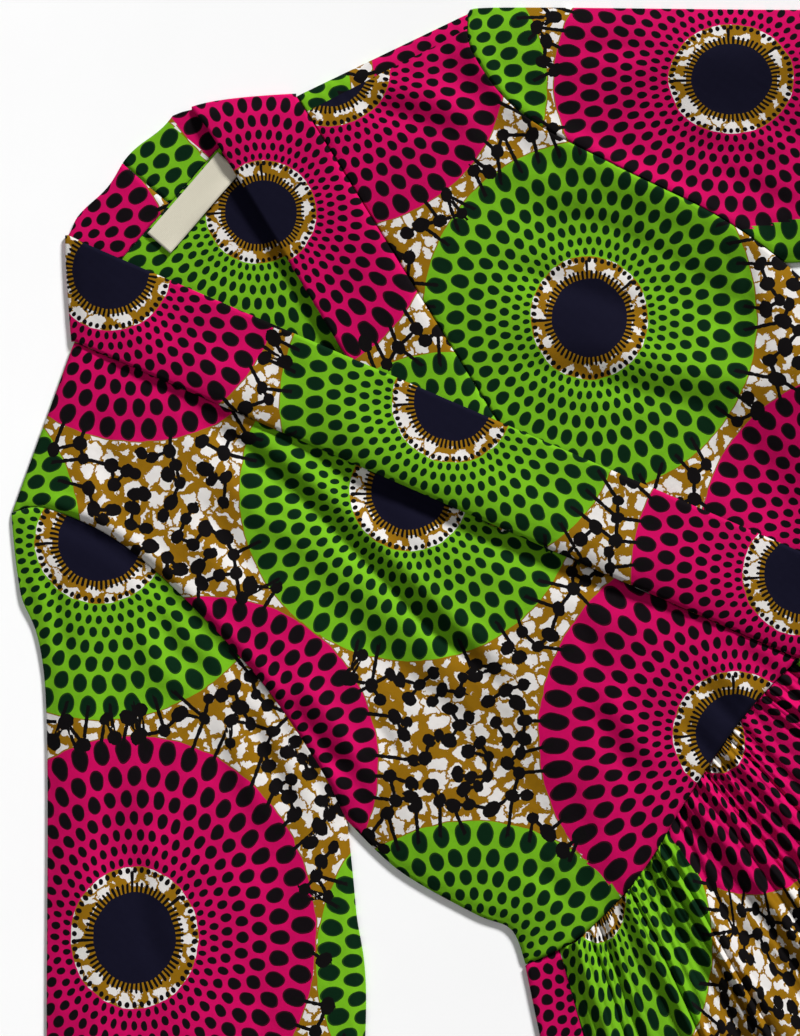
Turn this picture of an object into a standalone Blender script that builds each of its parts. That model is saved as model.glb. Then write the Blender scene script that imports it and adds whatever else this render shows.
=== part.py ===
"""Wrap-front blouse with a gathered peplum, laid out flat on its back with the sleeves spread.

Plan sizes are in millimetres from the middle of the back neck, +Y towards the neck and -X on the
wearer's right. The back panel and the lower walls of the sleeves and peplum lie flat on the
surface, and the front panels lie on them with their folds.
"""

import math
from collections import namedtuple

import bmesh
import bpy

MM = 0.001

# Cloth
CLOTH = 1.4  # wall of one layer of cloth
BAND_CLOTH = 1.8  # the neck band is folded double
LABEL_CLOTH = 1.0
SEAM = 0.35  # gap between pieces that are sewn together
WAIST_SEAM = 0.5  # the same along the curved waist
LAID = 0.35  # gap between layers that lie on each other
LAYER = BAND_CLOTH + 1.5  # rise of the right front where it crosses the left front and its band
LIFT_START, LIFT_END = 42.0, 15.0  # that rise begins and ends this far before the edge below

# Loft of the upper walls over the lower ones
LOFT = 2.2
LOFT_EDGE = 30.0  # the loft dies out this near a folded or seamed outer edge

# Neck, shoulders and wrap
V_FOOT = 104.0  # each V edge meets the waist this far past the middle
SEAM_FOOT = 40.0  # and its band's seam this far
BAND_BACK = -31.0  # Y of the back neck seam
BAND_TOP = 5.0  # Y of the back neck edge
BACK_SEAM_END = 42.0  # X where the back neck seam turns towards the shoulder
FOLD_OUT = 1.4  # bulge of the band where it folds over at the shoulder
FOLD_IN = 0.9  # its inner face turns this far inside the fold

# Peplum
PEPLUM = 240.0
PEPLUM_FLARE = 37.0  # degrees that its side edge slants out
SEAM_IN = 20.0  # the back wraps this far round onto the face
GATHERS = 36
GATHER_WAIST = 2.6  # crest height at the waist
GATHER_HEM = 3.6  # and at the hem

# Label inside the back neck
LABEL_SIZE = (63.0, 18.0)
LABEL_CENTRE = (10.0, -41.5)

# Steps along each edge
SIDE_STEPS, ARM_STEPS, FRONT_STEPS = 8, 13, 13
SHOULDER_STEPS, NECK_STEPS = 4, 8
SLEEVE_STEPS, BAND_STEPS, BAND_BACK_STEPS = 11, 4, 3
PEPLUM_STEPS, GATHER_STEPS, UNDER_STEPS = 5, 4, 24

Side = namedtuple("Side", "sign neck shoulder tip armhole side sleeve_outer sleeve_inner")
# Each edge runs from the first named place to the second: armhole from the shoulder tip to the
# underarm, side from the underarm to the waist, sleeve_outer from the tip to the cuff and
# sleeve_inner from the underarm to the cuff.
SIDES = {
    "right": Side(
        -1,
        (-54, 3),
        (-98, -42),
        (-197, -80),
        ((-197, -80), (-181, -96), (-168, -150), (-174, -243), (-190, -310), (-205, -347)),
        ((-205, -347), (-207, -390), (-197, -440), (-190, -462), (-200, -482)),
        ((-197, -80), (-228, -114), (-263, -164), (-416, -298), (-590, -449)),
        ((-205, -347), (-240, -384), (-294, -438), (-480, -573)),
    ),
    "left": Side(
        1,
        (54, -1),
        (97, -46),
        (199, -90),
        ((199, -90), (183, -108), (175, -152), (188, -215), (204, -275), (211, -326)),
        ((211, -326), (209, -385), (200, -440), (194, -462), (200, -482)),
        ((199, -90), (217, -106), (329, -237), (440, -364), (545, -485)),
        ((211, -326), (240, -356), (330, -455), (428, -565)),
    ),
}
WAIST = (
    (-200, -482), (-165, -495), (-115, -497), (-60, -488), (0, -482),
    (60, -486), (115, -494), (165, -493), (200, -482),
)

Fold = namedtuple("Fold", "x0 y0 x1 y1 width rise")
# Main folds: a soft ridge, or a trough where rise is below nought, from one place to another
FOLDS = (
    Fold(-70, -60, 60, -450, 22, 1.6),
    Fold(-108, -90, 16, -440, 15, -1.7),
    Fold(-78, -176, -92, -350, 17, 1.8),
    Fold(-112, -250, -128, -430, 18, -1.3),
    Fold(-150, -170, -175, -330, 18, 1.5),
    Fold(130, -150, 160, -330, 20, -1.4),
    Fold(72, -215, 140, -370, 19, 1.7),
    Fold(150, -380, 90, -470, 18, 1.4),
    Fold(140, -95, 175, -240, 16, 1.6),
    Fold(-230, -150, -400, -330, 20, 1.7),
    Fold(-215, -255, -262, -345, 17, -1.4),
    Fold(-300, -300, -520, -500, 21, 1.6),
    Fold(228, -166, 330, -280, 18, 1.6),
    Fold(205, -205, 300, -330, 17, -1.4),
    Fold(320, -330, 450, -480, 20, 1.7),
)

Cloth = namedtuple("Cloth", "colour roughness")
PINK = Cloth((0.52, 0.003, 0.093, 1.0), 0.75)
GREEN = Cloth((0.16, 0.43, 0.014, 1.0), 0.75)
GROUND = Cloth((0.36, 0.22, 0.03, 1.0), 0.75)
CREAM = Cloth((0.75, 0.73, 0.62, 1.0), 0.6)


def between(a, b, share):
    return tuple(p + (q - p) * share for p, q in zip(a, b))


def smooth(share):
    share = min(1.0, max(0.0, share))
    return share * share * (3.0 - 2.0 * share)


def lengths(points):
    run = [0.0]
    for a, b in zip(points, points[1:]):
        run.append(run[-1] + math.dist(a, b))
    return run


def even(points, steps):
    """Points at even distances along a polyline, its ends included."""
    run = lengths(points)
    placed = []
    leg = 0
    for step in range(steps + 1):
        want = run[-1] * step / steps
        while leg < len(points) - 2 and run[leg + 1] < want:
            leg += 1
        placed.append(between(points[leg], points[leg + 1], (want - run[leg]) / (run[leg + 1] - run[leg])))
    return placed


def rounded(points, steps):
    """Even points along a smooth curve through the given ones."""
    fine = []
    ends = [points[0], *points, points[-1]]
    for before, a, b, after in zip(ends, ends[1:], ends[2:], ends[3:]):
        for part in range(10):
            t = part / 10.0
            fine.append(
                tuple(
                    0.5 * (2 * q + (r - p) * t + (2 * p - 5 * q + 4 * r - s) * t**2
                           + (3 * q - p - 3 * r + s) * t**3)
                    for p, q, r, s in zip(before, a, b, after)
                )
            )
    return even([*fine, points[-1]], steps)


def patch(bottom, top, left, right):
    """A grid of plan points, rows from bottom to top, that fills four edges."""
    rows = []
    for i, (lo, hi) in enumerate(zip(left, right)):
        t = i / (len(left) - 1)
        row = []
        for j, (down, up) in enumerate(zip(bottom, top)):
            s = j / (len(bottom) - 1)
            corners = between(between(bottom[0], bottom[-1], s), between(top[0], top[-1], s), t)
            across = between(lo, hi, s)
            along = between(down, up, t)
            row.append(tuple(p + q - r for p, q, r in zip(across, along, corners)))
        rows.append(row)
    return rows


def moved(points, distance):
    """A plan curve moved to its right by a distance."""
    shifted = []
    for k, (x, y) in enumerate(points):
        ahead = points[min(k + 1, len(points) - 1)]
        behind = points[max(k - 1, 0)]
        dx, dy = ahead[0] - behind[0], ahead[1] - behind[1]
        size = math.hypot(dx, dy)
        shifted.append((x + distance * dy / size, y - distance * dx / size))
    return shifted


def waist_y(x):
    x = min(WAIST_LINE[-1][0], max(WAIST_LINE[0][0], x))
    for a, b in zip(WAIST_LINE, WAIST_LINE[1:]):
        if x <= b[0]:
            return between(a, b, (x - a[0]) / (b[0] - a[0]))[1]
    return WAIST_LINE[-1][1]


def waist(x0, x1, steps):
    return [(x, waist_y(x)) for x in (x0 + (x1 - x0) * k / steps for k in range(steps + 1))]


def to_segment(point, a, b):
    """How far a point lies from a segment, and how far along it, from 0 to 1."""
    dx, dy = b[0] - a[0], b[1] - a[1]
    share = ((point[0] - a[0]) * dx + (point[1] - a[1]) * dy) / (dx * dx + dy * dy)
    share = min(1.0, max(0.0, share))
    return math.dist(point, (a[0] + dx * share, a[1] + dy * share)), share


def side_direction(x):
    """Direction in which the peplum falls from a place on the waist."""
    slant = math.radians(PEPLUM_FLARE) * x / WAIST[-1][0]
    return math.sin(slant), -math.cos(slant)


def peplum_point(x, fall):
    across, down = side_direction(x)
    return x + across * fall, waist_y(x) - WAIST_SEAM + down * fall


def outer_edges():
    """The folded and seamed edges that make the outline, as segments."""
    lines = []
    for side in SIDES.values():
        lines.append([side.neck, side.shoulder, side.tip])
        lines.append(rounded(side.side, SIDE_STEPS))
        lines.append(rounded(side.sleeve_outer, SLEEVE_STEPS))
        lines.append(rounded(side.sleeve_inner, SLEEVE_STEPS))
        end = side.side[-1][0]
        lines.append([peplum_point(end, 0), peplum_point(end, PEPLUM)])
    return [pair for line in lines for pair in zip(line, line[1:])]


def loft(x, y):
    """Height of an upper wall's lower face over the lower wall."""
    near = min(to_segment((x, y), a, b)[0] for a, b in EDGES)
    rise = LOFT
    for fold in FOLDS:
        off, share = to_segment((x, y), (fold.x0, fold.y0), (fold.x1, fold.y1))
        fade = 0.45 + 0.55 * smooth(4 * min(share, 1 - share))
        rise += fold.rise * fade * math.exp(-((off / fold.width) ** 2))
    return max(0.0, rise) * smooth(near / LOFT_EDGE)


def past_left_edge(x, y):
    """How far a place lies inside the left V edge, below nought outside it."""
    foot, neck = V_EDGE["left"][0], V_EDGE["left"][-1]
    dx, dy = neck[0] - foot[0], neck[1] - foot[1]
    return ((x - foot[0]) * dy - (y - foot[1]) * dx) / math.hypot(dx, dy)


def lower_front(x, y):
    return CLOTH + LAID + loft(x, y)


def upper_front(x, y):
    over = (past_left_edge(x, y) + LIFT_START) / (LIFT_START - LIFT_END)
    return lower_front(x, y) + LAYER * smooth(over)


def walls(rows, under, cloth):
    """Upper and lower points of a wall that lies at a height given by under(x, y)."""
    low = [[(x, y, under(x, y)) for x, y in row] for row in rows]
    return [[(x, y, z + cloth) for x, y, z in row] for row in low], low


def material(name, cloth):
    made = bpy.data.materials.new(name)
    made.use_nodes = True
    shader = made.node_tree.nodes["Principled BSDF"]
    shader.inputs["Base Color"].default_value = cloth.colour
    shader.inputs["Roughness"].default_value = cloth.roughness
    shader.inputs["Metallic"].default_value = 0.0
    made.diffuse_color = cloth.colour
    return made


def sewn(name, outer, inner, cloth, tube=False):
    """One closed wall between two grids of points; a tube's rows are rings."""
    bm = bmesh.new()
    sheets = []
    for grid in (outer, inner):
        sheets.append([[bm.verts.new([c * MM for c in point]) for point in row] for row in grid])
    rows, columns = len(outer), len(outer[0])
    last = columns if tube else columns - 1
    for sheet in sheets:
        for i in range(rows - 1):
            for j in range(last):
                k = (j + 1) % columns
                bm.faces.new((sheet[i][j], sheet[i][k], sheet[i + 1][k], sheet[i + 1][j]))
    upper, lower = sheets
    for i in (0, rows - 1):
        for j in range(last):
            k = (j + 1) % columns
            bm.faces.new((upper[i][j], upper[i][k], lower[i][k], lower[i][j]))
    if not tube:
        for j in (0, columns - 1):
            for i in range(rows - 1):
                bm.faces.new((upper[i][j], upper[i + 1][j], lower[i + 1][j], lower[i][j]))
    bmesh.ops.recalc_face_normals(bm, faces=bm.faces)
    if bm.calc_volume(signed=True) < 0:
        bmesh.ops.reverse_faces(bm, faces=bm.faces)
    mesh = bpy.data.meshes.new(name)
    bm.to_mesh(mesh)
    bm.free()
    mesh.shade_smooth()
    mesh.set_sharp_from_angle(angle=math.radians(50))
    mesh.materials.append(material(f"{name}_cloth", cloth))
    made = bpy.data.objects.new(name, mesh)
    bpy.context.scene.collection.objects.link(made)
    return made


def outer_side(side):
    """A side's edge from the waist up to the shoulder tip."""
    seam = rounded(side.side, SIDE_STEPS)[::-1]
    return seam + rounded(side.armhole, ARM_STEPS)[::-1][1:]


def back():
    """Back panel, flat on the surface inside the side, armhole and back neck seams."""
    right, left = SIDES["right"], SIDES["left"]
    neck = [right.shoulder, (-BACK_SEAM_END, BAND_BACK), (BACK_SEAM_END, BAND_BACK), left.shoulder]
    top = even([right.tip, right.shoulder], SHOULDER_STEPS)
    top += even(neck, NECK_STEPS)[1:]
    top += even([left.shoulder, left.tip], SHOULDER_STEPS)[1:]
    bottom = waist(right.side[-1][0], left.side[-1][0], len(top) - 1)
    rows = patch(bottom, top, outer_side(right), outer_side(left))
    sewn("back", *walls(rows, lambda x, y: 0.0, CLOTH), GROUND)


def front(name, under, cloth):
    """A front panel from its side and armhole to its band's seam."""
    side = SIDES[name]
    outer = outer_side(side)
    seam = even([SEAM_LINE[name][0], SEAM_LINE[name][-1]], len(outer) - 1)
    top = even([side.tip, side.shoulder], FRONT_STEPS)
    bottom = waist(side.side[-1][0], -side.sign * SEAM_FOOT, FRONT_STEPS)
    sewn(f"front_{name}", *walls(patch(bottom, top, outer, seam), under, CLOTH), cloth)


def band(name, under, cloth):
    """Neck band from the centre back, over the shoulder fold and down to the waist."""
    side = SIDES[name]
    inset = SEAM * side.sign
    foot, shoulder = SEAM_LINE[name]
    seam = [(foot[0] - inset, foot[1]), (shoulder[0] - inset, shoulder[1] + SEAM)]
    steps = SIDE_STEPS + ARM_STEPS
    free_line = even(V_EDGE[name], steps)
    seam_line = even([seam[0], seam[-1]], steps)
    outer, inner = [], []
    for free, sewn_to in zip(free_line, seam_line):
        row = even([free, sewn_to], BAND_STEPS)
        low = [under(x, y) + BAND_LIFT * smooth((y + 110) / 60) for x, y in row]
        outer.append([(x, y, z + BAND_CLOTH) for (x, y), z in zip(row, low)])
        inner.append([(x, y, z) for (x, y), z in zip(row, low)])
    fold = [(x, y) for x, y, z in outer[-1]]
    top = [z for x, y, z in outer[-1]]
    middle = [z / 2 for z in top]
    outer.append([(x + side.sign * FOLD_OUT, y + FOLD_OUT, z) for (x, y), z in zip(fold, middle)])
    inner.append([(x, y, z) for (x, y), z in zip(fold, middle)])
    inner[-2] = [(x - side.sign * FOLD_IN, y - FOLD_IN, z) for x, y, z in inner[-2]]
    centre = even([(side.sign * SEAM / 2, BAND_TOP), (side.sign * SEAM / 2, BAND_BACK + SEAM)], BAND_STEPS)
    turn = [(side.sign * BACK_SEAM_END, BAND_TOP - 1), (side.sign * BACK_SEAM_END, BAND_BACK + SEAM)]
    turn = even(turn, BAND_STEPS)
    for step in range(BAND_BACK_STEPS):
        share = 1 - step / BAND_BACK_STEPS
        row = [between(a, b, share) for a, b in zip(turn, fold)]
        row[-1] = (row[-1][0], row[-1][1] + SEAM * (1 - share))
        outer.append([(x, y, 0.0) for x, y in row])
        pulled = FOLD_IN if step == 0 else 0.0
        inner.append([(x - side.sign * pulled, y + pulled / 4, BAND_CLOTH) for x, y in row])
    for row in (turn, centre):
        outer.append([(x, y, 0.0) for x, y in row])
        inner.append([(x, y, BAND_CLOTH) for x, y in row])
    sewn(f"neck_band_{name}", outer, inner, cloth)


def sleeve(name, cloth):
    """A sleeve laid flat: one wall round from the armhole to the open cuff."""
    side = SIDES[name]
    armhole = moved(rounded(side.armhole, ARM_STEPS), -SEAM * side.sign)
    outer_edge = rounded(side.sleeve_outer, SLEEVE_STEPS)
    inner_edge = rounded(side.sleeve_inner, SLEEVE_STEPS)
    outer_edge[0], inner_edge[0] = armhole[0], armhole[-1]
    cuff = even([outer_edge[-1], inner_edge[-1]], ARM_STEPS)
    rows = patch(armhole, cuff, outer_edge, inner_edge)
    outer, inner = [], []
    for row in rows:
        inset = CLOTH / math.dist(row[0], row[-1])
        within = [between(row[0], row[-1], inset), *row[1:-1], between(row[-1], row[0], inset)]
        outer.append(
            [(x, y, 0.0) for x, y in row]
            + [(x, y, lower_front(x, y) + CLOTH) for x, y in row[::-1]]
        )
        inner.append(
            [(x, y, CLOTH) for x, y in within]
            + [(x, y, lower_front(x, y)) for x, y in within[::-1]]
        )
    sewn(f"sleeve_{name}", outer, inner, cloth, tube=True)


def gather(x, fall):
    """Height of a gathered fold, uneven from one to the next."""
    span = WAIST[-1][0] - SEAM_IN
    turn = GATHERS * (x + span) / (2 * span)
    turn += 0.35 * math.sin(0.9 * turn) + 0.2 * math.sin(2.3 * turn)
    size = 0.7 + 0.3 * math.sin(1.7 * math.floor(turn) + 0.6)
    crest = GATHER_WAIST + (GATHER_HEM - GATHER_WAIST) * fall / PEPLUM
    return crest * size * 0.5 * (1 - math.cos(2 * math.pi * turn))


def peplum_front(cloth):
    """Gathered front of the peplum, between its two side seams."""
    span = WAIST[-1][0] - SEAM_IN
    columns = GATHERS * GATHER_STEPS
    outer, inner = [], []
    for i in range(PEPLUM_STEPS + 1):
        fall = PEPLUM * i / PEPLUM_STEPS
        low = []
        for j in range(columns + 1):
            x = -span + 2 * span * j / columns
            px, py = peplum_point(x, fall)
            near = smooth((span - abs(x)) / 8.0)
            low.append((px, py, CLOTH + LAID + gather(x, fall) * near))
        outer.append([(x, y, z + CLOTH) for x, y, z in low])
        inner.append(low)
    sewn("peplum_front", outer, inner, cloth)


def peplum_back(cloth):
    """Back of the peplum: flat below, with its side edges brought round onto the face."""
    end = WAIST[-1][0]
    seam = end - SEAM_IN + SEAM
    top = 2 * CLOTH + LAID
    under = UNDER_STEPS
    outer, inner = [], []
    for i in range(PEPLUM_STEPS + 1):
        fall = PEPLUM * i / PEPLUM_STEPS
        ring, hollow = [], []
        for sign, order in ((-1, 1), (1, -1)):
            face = [(seam, top), ((seam + end) / 2, top), (end, top - 0.6)]
            lining = [(seam, top - CLOTH), ((seam + end) / 2, top - CLOTH), (end - CLOTH, top - CLOTH - 0.1)]
            corner = [(end, 0.6)]
            inside = [(end - CLOTH, CLOTH + 0.05)]
            if sign > 0:
                flat = [(-end + 1.5 + 2 * (end - 1.5) * k / under, 0.0) for k in range(under + 1)]
                ring += [(*peplum_point(x, fall), z) for x, z in flat]
                hollow += [(*peplum_point(min(end - 3, max(3 - end, x)), fall), CLOTH) for x, z in flat]
            ring += [(*peplum_point(sign * x, fall), z) for x, z in (face + corner)[::order]]
            hollow += [(*peplum_point(sign * x, fall), z) for x, z in (lining + inside)[::order]]
        outer.append(ring)
        inner.append(hollow)
    sewn("peplum_back", outer, inner, cloth)


def label():
    """Plain woven label inside the back neck, under the band's seam."""
    half_x, half_y = (size / 2 for size in LABEL_SIZE)
    cx, cy = LABEL_CENTRE
    left = [(cx - half_x, cy - half_y), (cx - half_x, cy + half_y)]
    right = [(cx + half_x, cy - half_y), (cx + half_x, cy + half_y)]
    bottom = even([left[0], right[0]], 6)
    top = even([left[1], right[1]], 6)
    rows = patch(bottom, top, left, right)
    sewn("label", *walls(rows, lambda x, y: CLOTH + LAID, LABEL_CLOTH), CREAM)


def centre_on_floor():
    """Move the garment so that the middle of its footprint is the origin."""
    corners = [v.co for o in bpy.data.objects for v in o.data.vertices]
    middle = [(min(c[k] for c in corners) + max(c[k] for c in corners)) / 2 for k in (0, 1)]
    for made in bpy.data.objects:
        for vertex in made.data.vertices:
            vertex.co.x -= middle[0]
            vertex.co.y -= middle[1]


def main():
    for old in list(bpy.data.objects):
        bpy.data.objects.remove(old)
    back()
    front("left", lower_front, GREEN)
    front("right", upper_front, PINK)
    band("left", lower_front, GREEN)
    band("right", upper_front, PINK)
    sleeve("right", PINK)
    sleeve("left", GREEN)
    peplum_front(PINK)
    peplum_back(GROUND)
    label()
    centre_on_floor()


BAND_LIFT = BAND_CLOTH - CLOTH + 0.3  # the band's front lies over its own back part
WAIST_LINE = rounded(WAIST, 40)
V_EDGE = {n: [(-s.sign * V_FOOT, waist_y(V_FOOT)), s.neck] for n, s in SIDES.items()}
SEAM_LINE = {n: [(-s.sign * SEAM_FOOT, waist_y(SEAM_FOOT)), s.shoulder] for n, s in SIDES.items()}
EDGES = outer_edges()

main()
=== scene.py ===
"""Wrap-front peplum blouse in wax-print cotton, laid out flat: its cloth, its print and its studio.

Plan sizes are in millimetres from the middle of the back neck, +Y towards the neck and -X on the
wearer's right, the same as the solids were drawn in.
"""

import math
from collections import Counter, namedtuple

import bmesh
import bpy
import numpy as np
from mathutils import Matrix, Vector


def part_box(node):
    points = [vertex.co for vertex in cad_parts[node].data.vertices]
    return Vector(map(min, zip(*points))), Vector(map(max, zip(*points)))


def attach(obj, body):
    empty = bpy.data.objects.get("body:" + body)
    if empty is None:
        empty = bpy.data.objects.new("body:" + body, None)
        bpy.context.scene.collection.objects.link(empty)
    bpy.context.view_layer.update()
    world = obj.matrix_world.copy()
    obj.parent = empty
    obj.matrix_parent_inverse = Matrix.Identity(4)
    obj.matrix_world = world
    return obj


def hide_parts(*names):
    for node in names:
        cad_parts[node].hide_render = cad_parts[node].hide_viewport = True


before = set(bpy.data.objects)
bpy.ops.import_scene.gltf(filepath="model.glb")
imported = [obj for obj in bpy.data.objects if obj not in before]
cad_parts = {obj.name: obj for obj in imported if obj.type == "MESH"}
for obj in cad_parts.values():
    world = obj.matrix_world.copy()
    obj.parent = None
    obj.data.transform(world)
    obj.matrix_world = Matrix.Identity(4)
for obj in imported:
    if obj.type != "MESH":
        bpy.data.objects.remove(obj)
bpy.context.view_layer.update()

bl_info = {
    "name": "Wax-print wrap blouse",
    "version": (1, 0, 0),
    "blender": (4, 5, 0),
    "location": "3D View > Sidebar > Blouse",
    "description": "Dresses a wrap-front peplum blouse in printed cotton, laid out flat",
    "category": "Object",
}

MM = 0.001

# Layers of the solids that the cloth lies on, and the gaps between them
CLOTH = 1.4
BAND_CLOTH = 1.8  # the neck band is doubled
SEAM = 0.35  # gap beside a seam
WAIST_SEAM = 0.5
LAID = 0.35  # gap under a layer that lies on another
LAYER = BAND_CLOTH + 1.5  # rise of the right front over the left front and its band
LIFT_START, LIFT_END = 42.0, 15.0  # that rise begins and ends this far before the edge below
TOP = 2 * CLOTH + LAID  # upper face of an upper layer where it has no loft

# Neck and wrap
V_FOOT = 104.0  # from the middle to the foot of the neck band's free edge
SEAM_FOOT = 40.0  # and to the foot of its seam
BAND_TOP, BAND_BACK = 5.0, -31.0  # upper and lower edge of the band behind the neck
BACK_SEAM_END = 42.0  # half the straight part of its seam there
LABEL_SIZE = (63.0, 18.0)
LABEL_CENTRE = (10.0, -41.5)

# Peplum
PEPLUM = 240.0  # from the waist to the hem
PEPLUM_FLARE = 37.0  # slant of its side edges, in degrees
SEAM_IN = 20.0  # its front stops this far inside its side edges
CUT_HALF = 300.0  # half the width that its front is cut to before it is gathered
BACK_CUT_HALF = CUT_HALF + 37.0
GATHERS = 36
GATHER_WAIST, GATHER_HEM = 5.46, 7.56  # height of a gather at the waist and at the hem
FINE_GATHER = 2.2  # height of the finer ones between them, at the waist
FINE_FADE = 70.0  # fall over which those fade
PLEAT = 3.6  # height of the deeper pleats
PLEAT_GATHERS = 3.4  # gathers to a pleat
SIDE_FADE = 8.0  # gathers flatten this near the side seams

# How the upper layers lie
LEAST_LOFT = 0.3
TUCK = 5.0  # breadth of the outer edge that turns down to the layer below
EDGE_ROUND, EDGE_SLOPE = 9.0, 30.0  # breadths of the steep and of the gentle part of its slope
DITCH_WIDE = 2.2  # breadth of the dip at a seam
PUCKER_REACH = 9.0  # how far the small waves beside it run into the cloth
PUCKER_LENGTH = 0.68  # their turn for each millimetre of seam

Roll = namedtuple("Roll", "rise middle width")
# Rolled edges: a ridge, or a hollow where rise is below nought, this far inside a seam
BAND_ROLLS = (Roll(-3.8, 3.0, 8.5), Roll(1.2, 24.0, 9.0))
ARMHOLE_ROLLS = {
    "right": (Roll(1.9, 5.0, 5.0), Roll(-2.2, -5.0, 6.0)),
    "left": (Roll(2.0, -2.0, 6.0), Roll(-2.7, 16.0, 10.0)),
}
UNDERARM_ROLL = Roll(-1.2, 15.0, 6.0)  # beside the lower half of the right armhole

Side = namedtuple("Side", "sign neck shoulder tip armhole side sleeve_outer sleeve_inner")
SIDES = {
    "right": Side(
        -1,
        (-54, 3),
        (-98, -42),
        (-197, -80),
        ((-197, -80), (-181, -96), (-168, -150), (-174, -243), (-190, -310), (-205, -347)),
        ((-205, -347), (-207, -390), (-197, -440), (-190, -462), (-200, -482)),
        ((-197, -80), (-228, -114), (-263, -164), (-416, -298), (-590, -449)),
        ((-205, -347), (-240, -384), (-294, -438), (-480, -573)),
    ),
    "left": Side(
        1,
        (54, -1),
        (97, -46),
        (199, -90),
        ((199, -90), (183, -108), (175, -152), (188, -215), (204, -275), (211, -326)),
        ((211, -326), (209, -385), (200, -440), (194, -462), (200, -482)),
        ((199, -90), (217, -106), (329, -237), (440, -364), (545, -485)),
        ((211, -326), (240, -356), (330, -455), (428, -565)),
    ),
}
WAIST = (
    (-200, -482), (-165, -495), (-115, -497), (-60, -488), (0, -482),
    (60, -486), (115, -494), (165, -493), (200, -482),
)

Fold = namedtuple("Fold", "width rise line")
# The solids' main folds: a soft ridge, or a trough where rise is below nought
FOLDS = (
    Fold(22, 1.6, ((-70, -60), (60, -450))),
    Fold(15, -1.7, ((-108, -90), (16, -440))),
    Fold(17, 1.8, ((-78, -176), (-92, -350))),
    Fold(18, -1.3, ((-112, -250), (-128, -430))),
    Fold(18, 1.5, ((-150, -170), (-175, -330))),
    Fold(20, -1.4, ((130, -150), (160, -330))),
    Fold(19, 1.7, ((72, -215), (140, -370))),
    Fold(18, 1.4, ((150, -380), (90, -470))),
    Fold(16, 1.6, ((140, -95), (175, -240))),
    Fold(20, 1.7, ((-230, -150), (-400, -330))),
    Fold(17, -1.4, ((-215, -255), (-262, -345))),
    Fold(21, 1.6, ((-300, -300), (-520, -500))),
    Fold(18, 1.6, ((228, -166), (330, -280))),
    Fold(17, -1.4, ((205, -205), (300, -330))),
    Fold(20, 1.7, ((320, -330), (450, -480))),
)
# Narrower creases that lie on them
CREASES = (
    # right front
    Fold(5.5, -3.3, ((-86, -100), (-81, -160), (-80, -205), (-83, -255), (-87, -305), (-86, -390))),
    Fold(6.5, 2.6, ((-72, -110), (-67, -175), (-66, -220), (-70, -270), (-74, -320), (-72, -385))),
    Fold(7, 0.9, ((-97, -170), (-99, -240), (-102, -330))),
    Fold(8, -0.9, ((-114, -230), (-120, -300), (-108, -400))),
    Fold(9, 1.1, ((-100, -300), (-120, -420))),
    Fold(7, -1.4, ((-58, -400), (-72, -440), (-80, -470))),
    Fold(7, 1.2, ((-44, -400), (-56, -440), (-62, -474))),
    Fold(8, -1.1, ((-20, -360), (-48, -410))),
    Fold(8, -1.0, ((-100, -420), (-122, -470))),
    Fold(6, -0.9, ((-150, -440), (-158, -485))),
    Fold(5, -1.3, ((-6, -440), (-14, -492))),
    Fold(5, 1.1, ((8, -436), (2, -490))),
    Fold(5, -1.2, ((22, -446), (24, -490))),
    Fold(5, -1.2, ((-30, -452), (-38, -494))),
    Fold(8, -1.3, ((-118, -72), (-150, -120))),
    Fold(7, 1.1, ((-150, -90), (-168, -140))),
    Fold(9, 1.3, ((-132, -150), (-150, -230))),
    Fold(8, -1.2, ((-118, -150), (-134, -226))),
    Fold(6, 0.9, ((-96, -112), (-104, -190), (-100, -240))),
    Fold(7, 1.3, ((-160, -260), (-182, -330))),
    Fold(5, -2.6, ((-172, -262), (-180, -300), (-190, -340))),
    Fold(6, 1.8, ((-158, -262), (-166, -305), (-180, -345))),
    Fold(5, -1.2, ((-146, -310), (-160, -352))),
    # left front
    Fold(8, -1.6, ((112, -58), (132, -110), (150, -150))),
    Fold(8, 1.0, ((128, -66), (150, -112), (166, -150))),
    Fold(13, 2.8, ((160, -160), (184, -230), (198, -300), (190, -370))),
    Fold(13, -2.6, ((132, -180), (154, -240), (168, -310), (158, -370))),
    Fold(8, -2.0, ((60, -240), (92, -300), (128, -372))),
    Fold(9, -1.8, ((96, -196), (122, -250), (140, -300))),
    Fold(9, 1.3, ((90, -250), (130, -330), (160, -385))),
    Fold(23, 4.6, ((176, -330), (168, -400), (160, -465))),
    Fold(20, -3.2, ((112, -330), (106, -390), (100, -450))),
    Fold(5, -1.3, ((150, -318), (180, -322), (204, -306))),
    Fold(5, 1.0, ((146, -330), (176, -336), (200, -324))),
    # right sleeve
    Fold(6, -1.6, ((-204, -112), (-226, -140), (-246, -168))),
    Fold(6, 1.2, ((-214, -106), (-240, -140), (-256, -160))),
    Fold(6, -1.5, ((-182, -172), (-196, -206), (-190, -236))),
    Fold(7, 1.1, ((-194, -170), (-210, -206), (-208, -240))),
    Fold(6, -1.8, ((-190, -250), (-208, -290), (-226, -330))),
    Fold(7, 1.4, ((-200, -240), (-222, -280), (-240, -322))),
    Fold(9, -1.3, ((-266, -210), (-300, -245), (-336, -272))),
    Fold(9, 1.0, ((-250, -225), (-310, -290))),
    Fold(8, -1.0, ((-290, -250), (-330, -300), (-352, -345))),
    Fold(9, -0.9, ((-300, -360), (-370, -430))),
    Fold(10, -0.9, ((-420, -340), (-500, -410))),
    Fold(10, 0.9, ((-380, -400), (-450, -470))),
    # left sleeve
    Fold(7, -1.3, ((216, -140), (262, -196))),
    Fold(8, 1.3, ((232, -222), (268, -296))),
    Fold(7, -1.4, ((222, -250), (240, -318))),
    Fold(9, -1.1, ((300, -260), (380, -350))),
    Fold(10, 0.9, ((360, -420), (420, -500))),
    Fold(10, -0.9, ((430, -400), (500, -480))),
)

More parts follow.
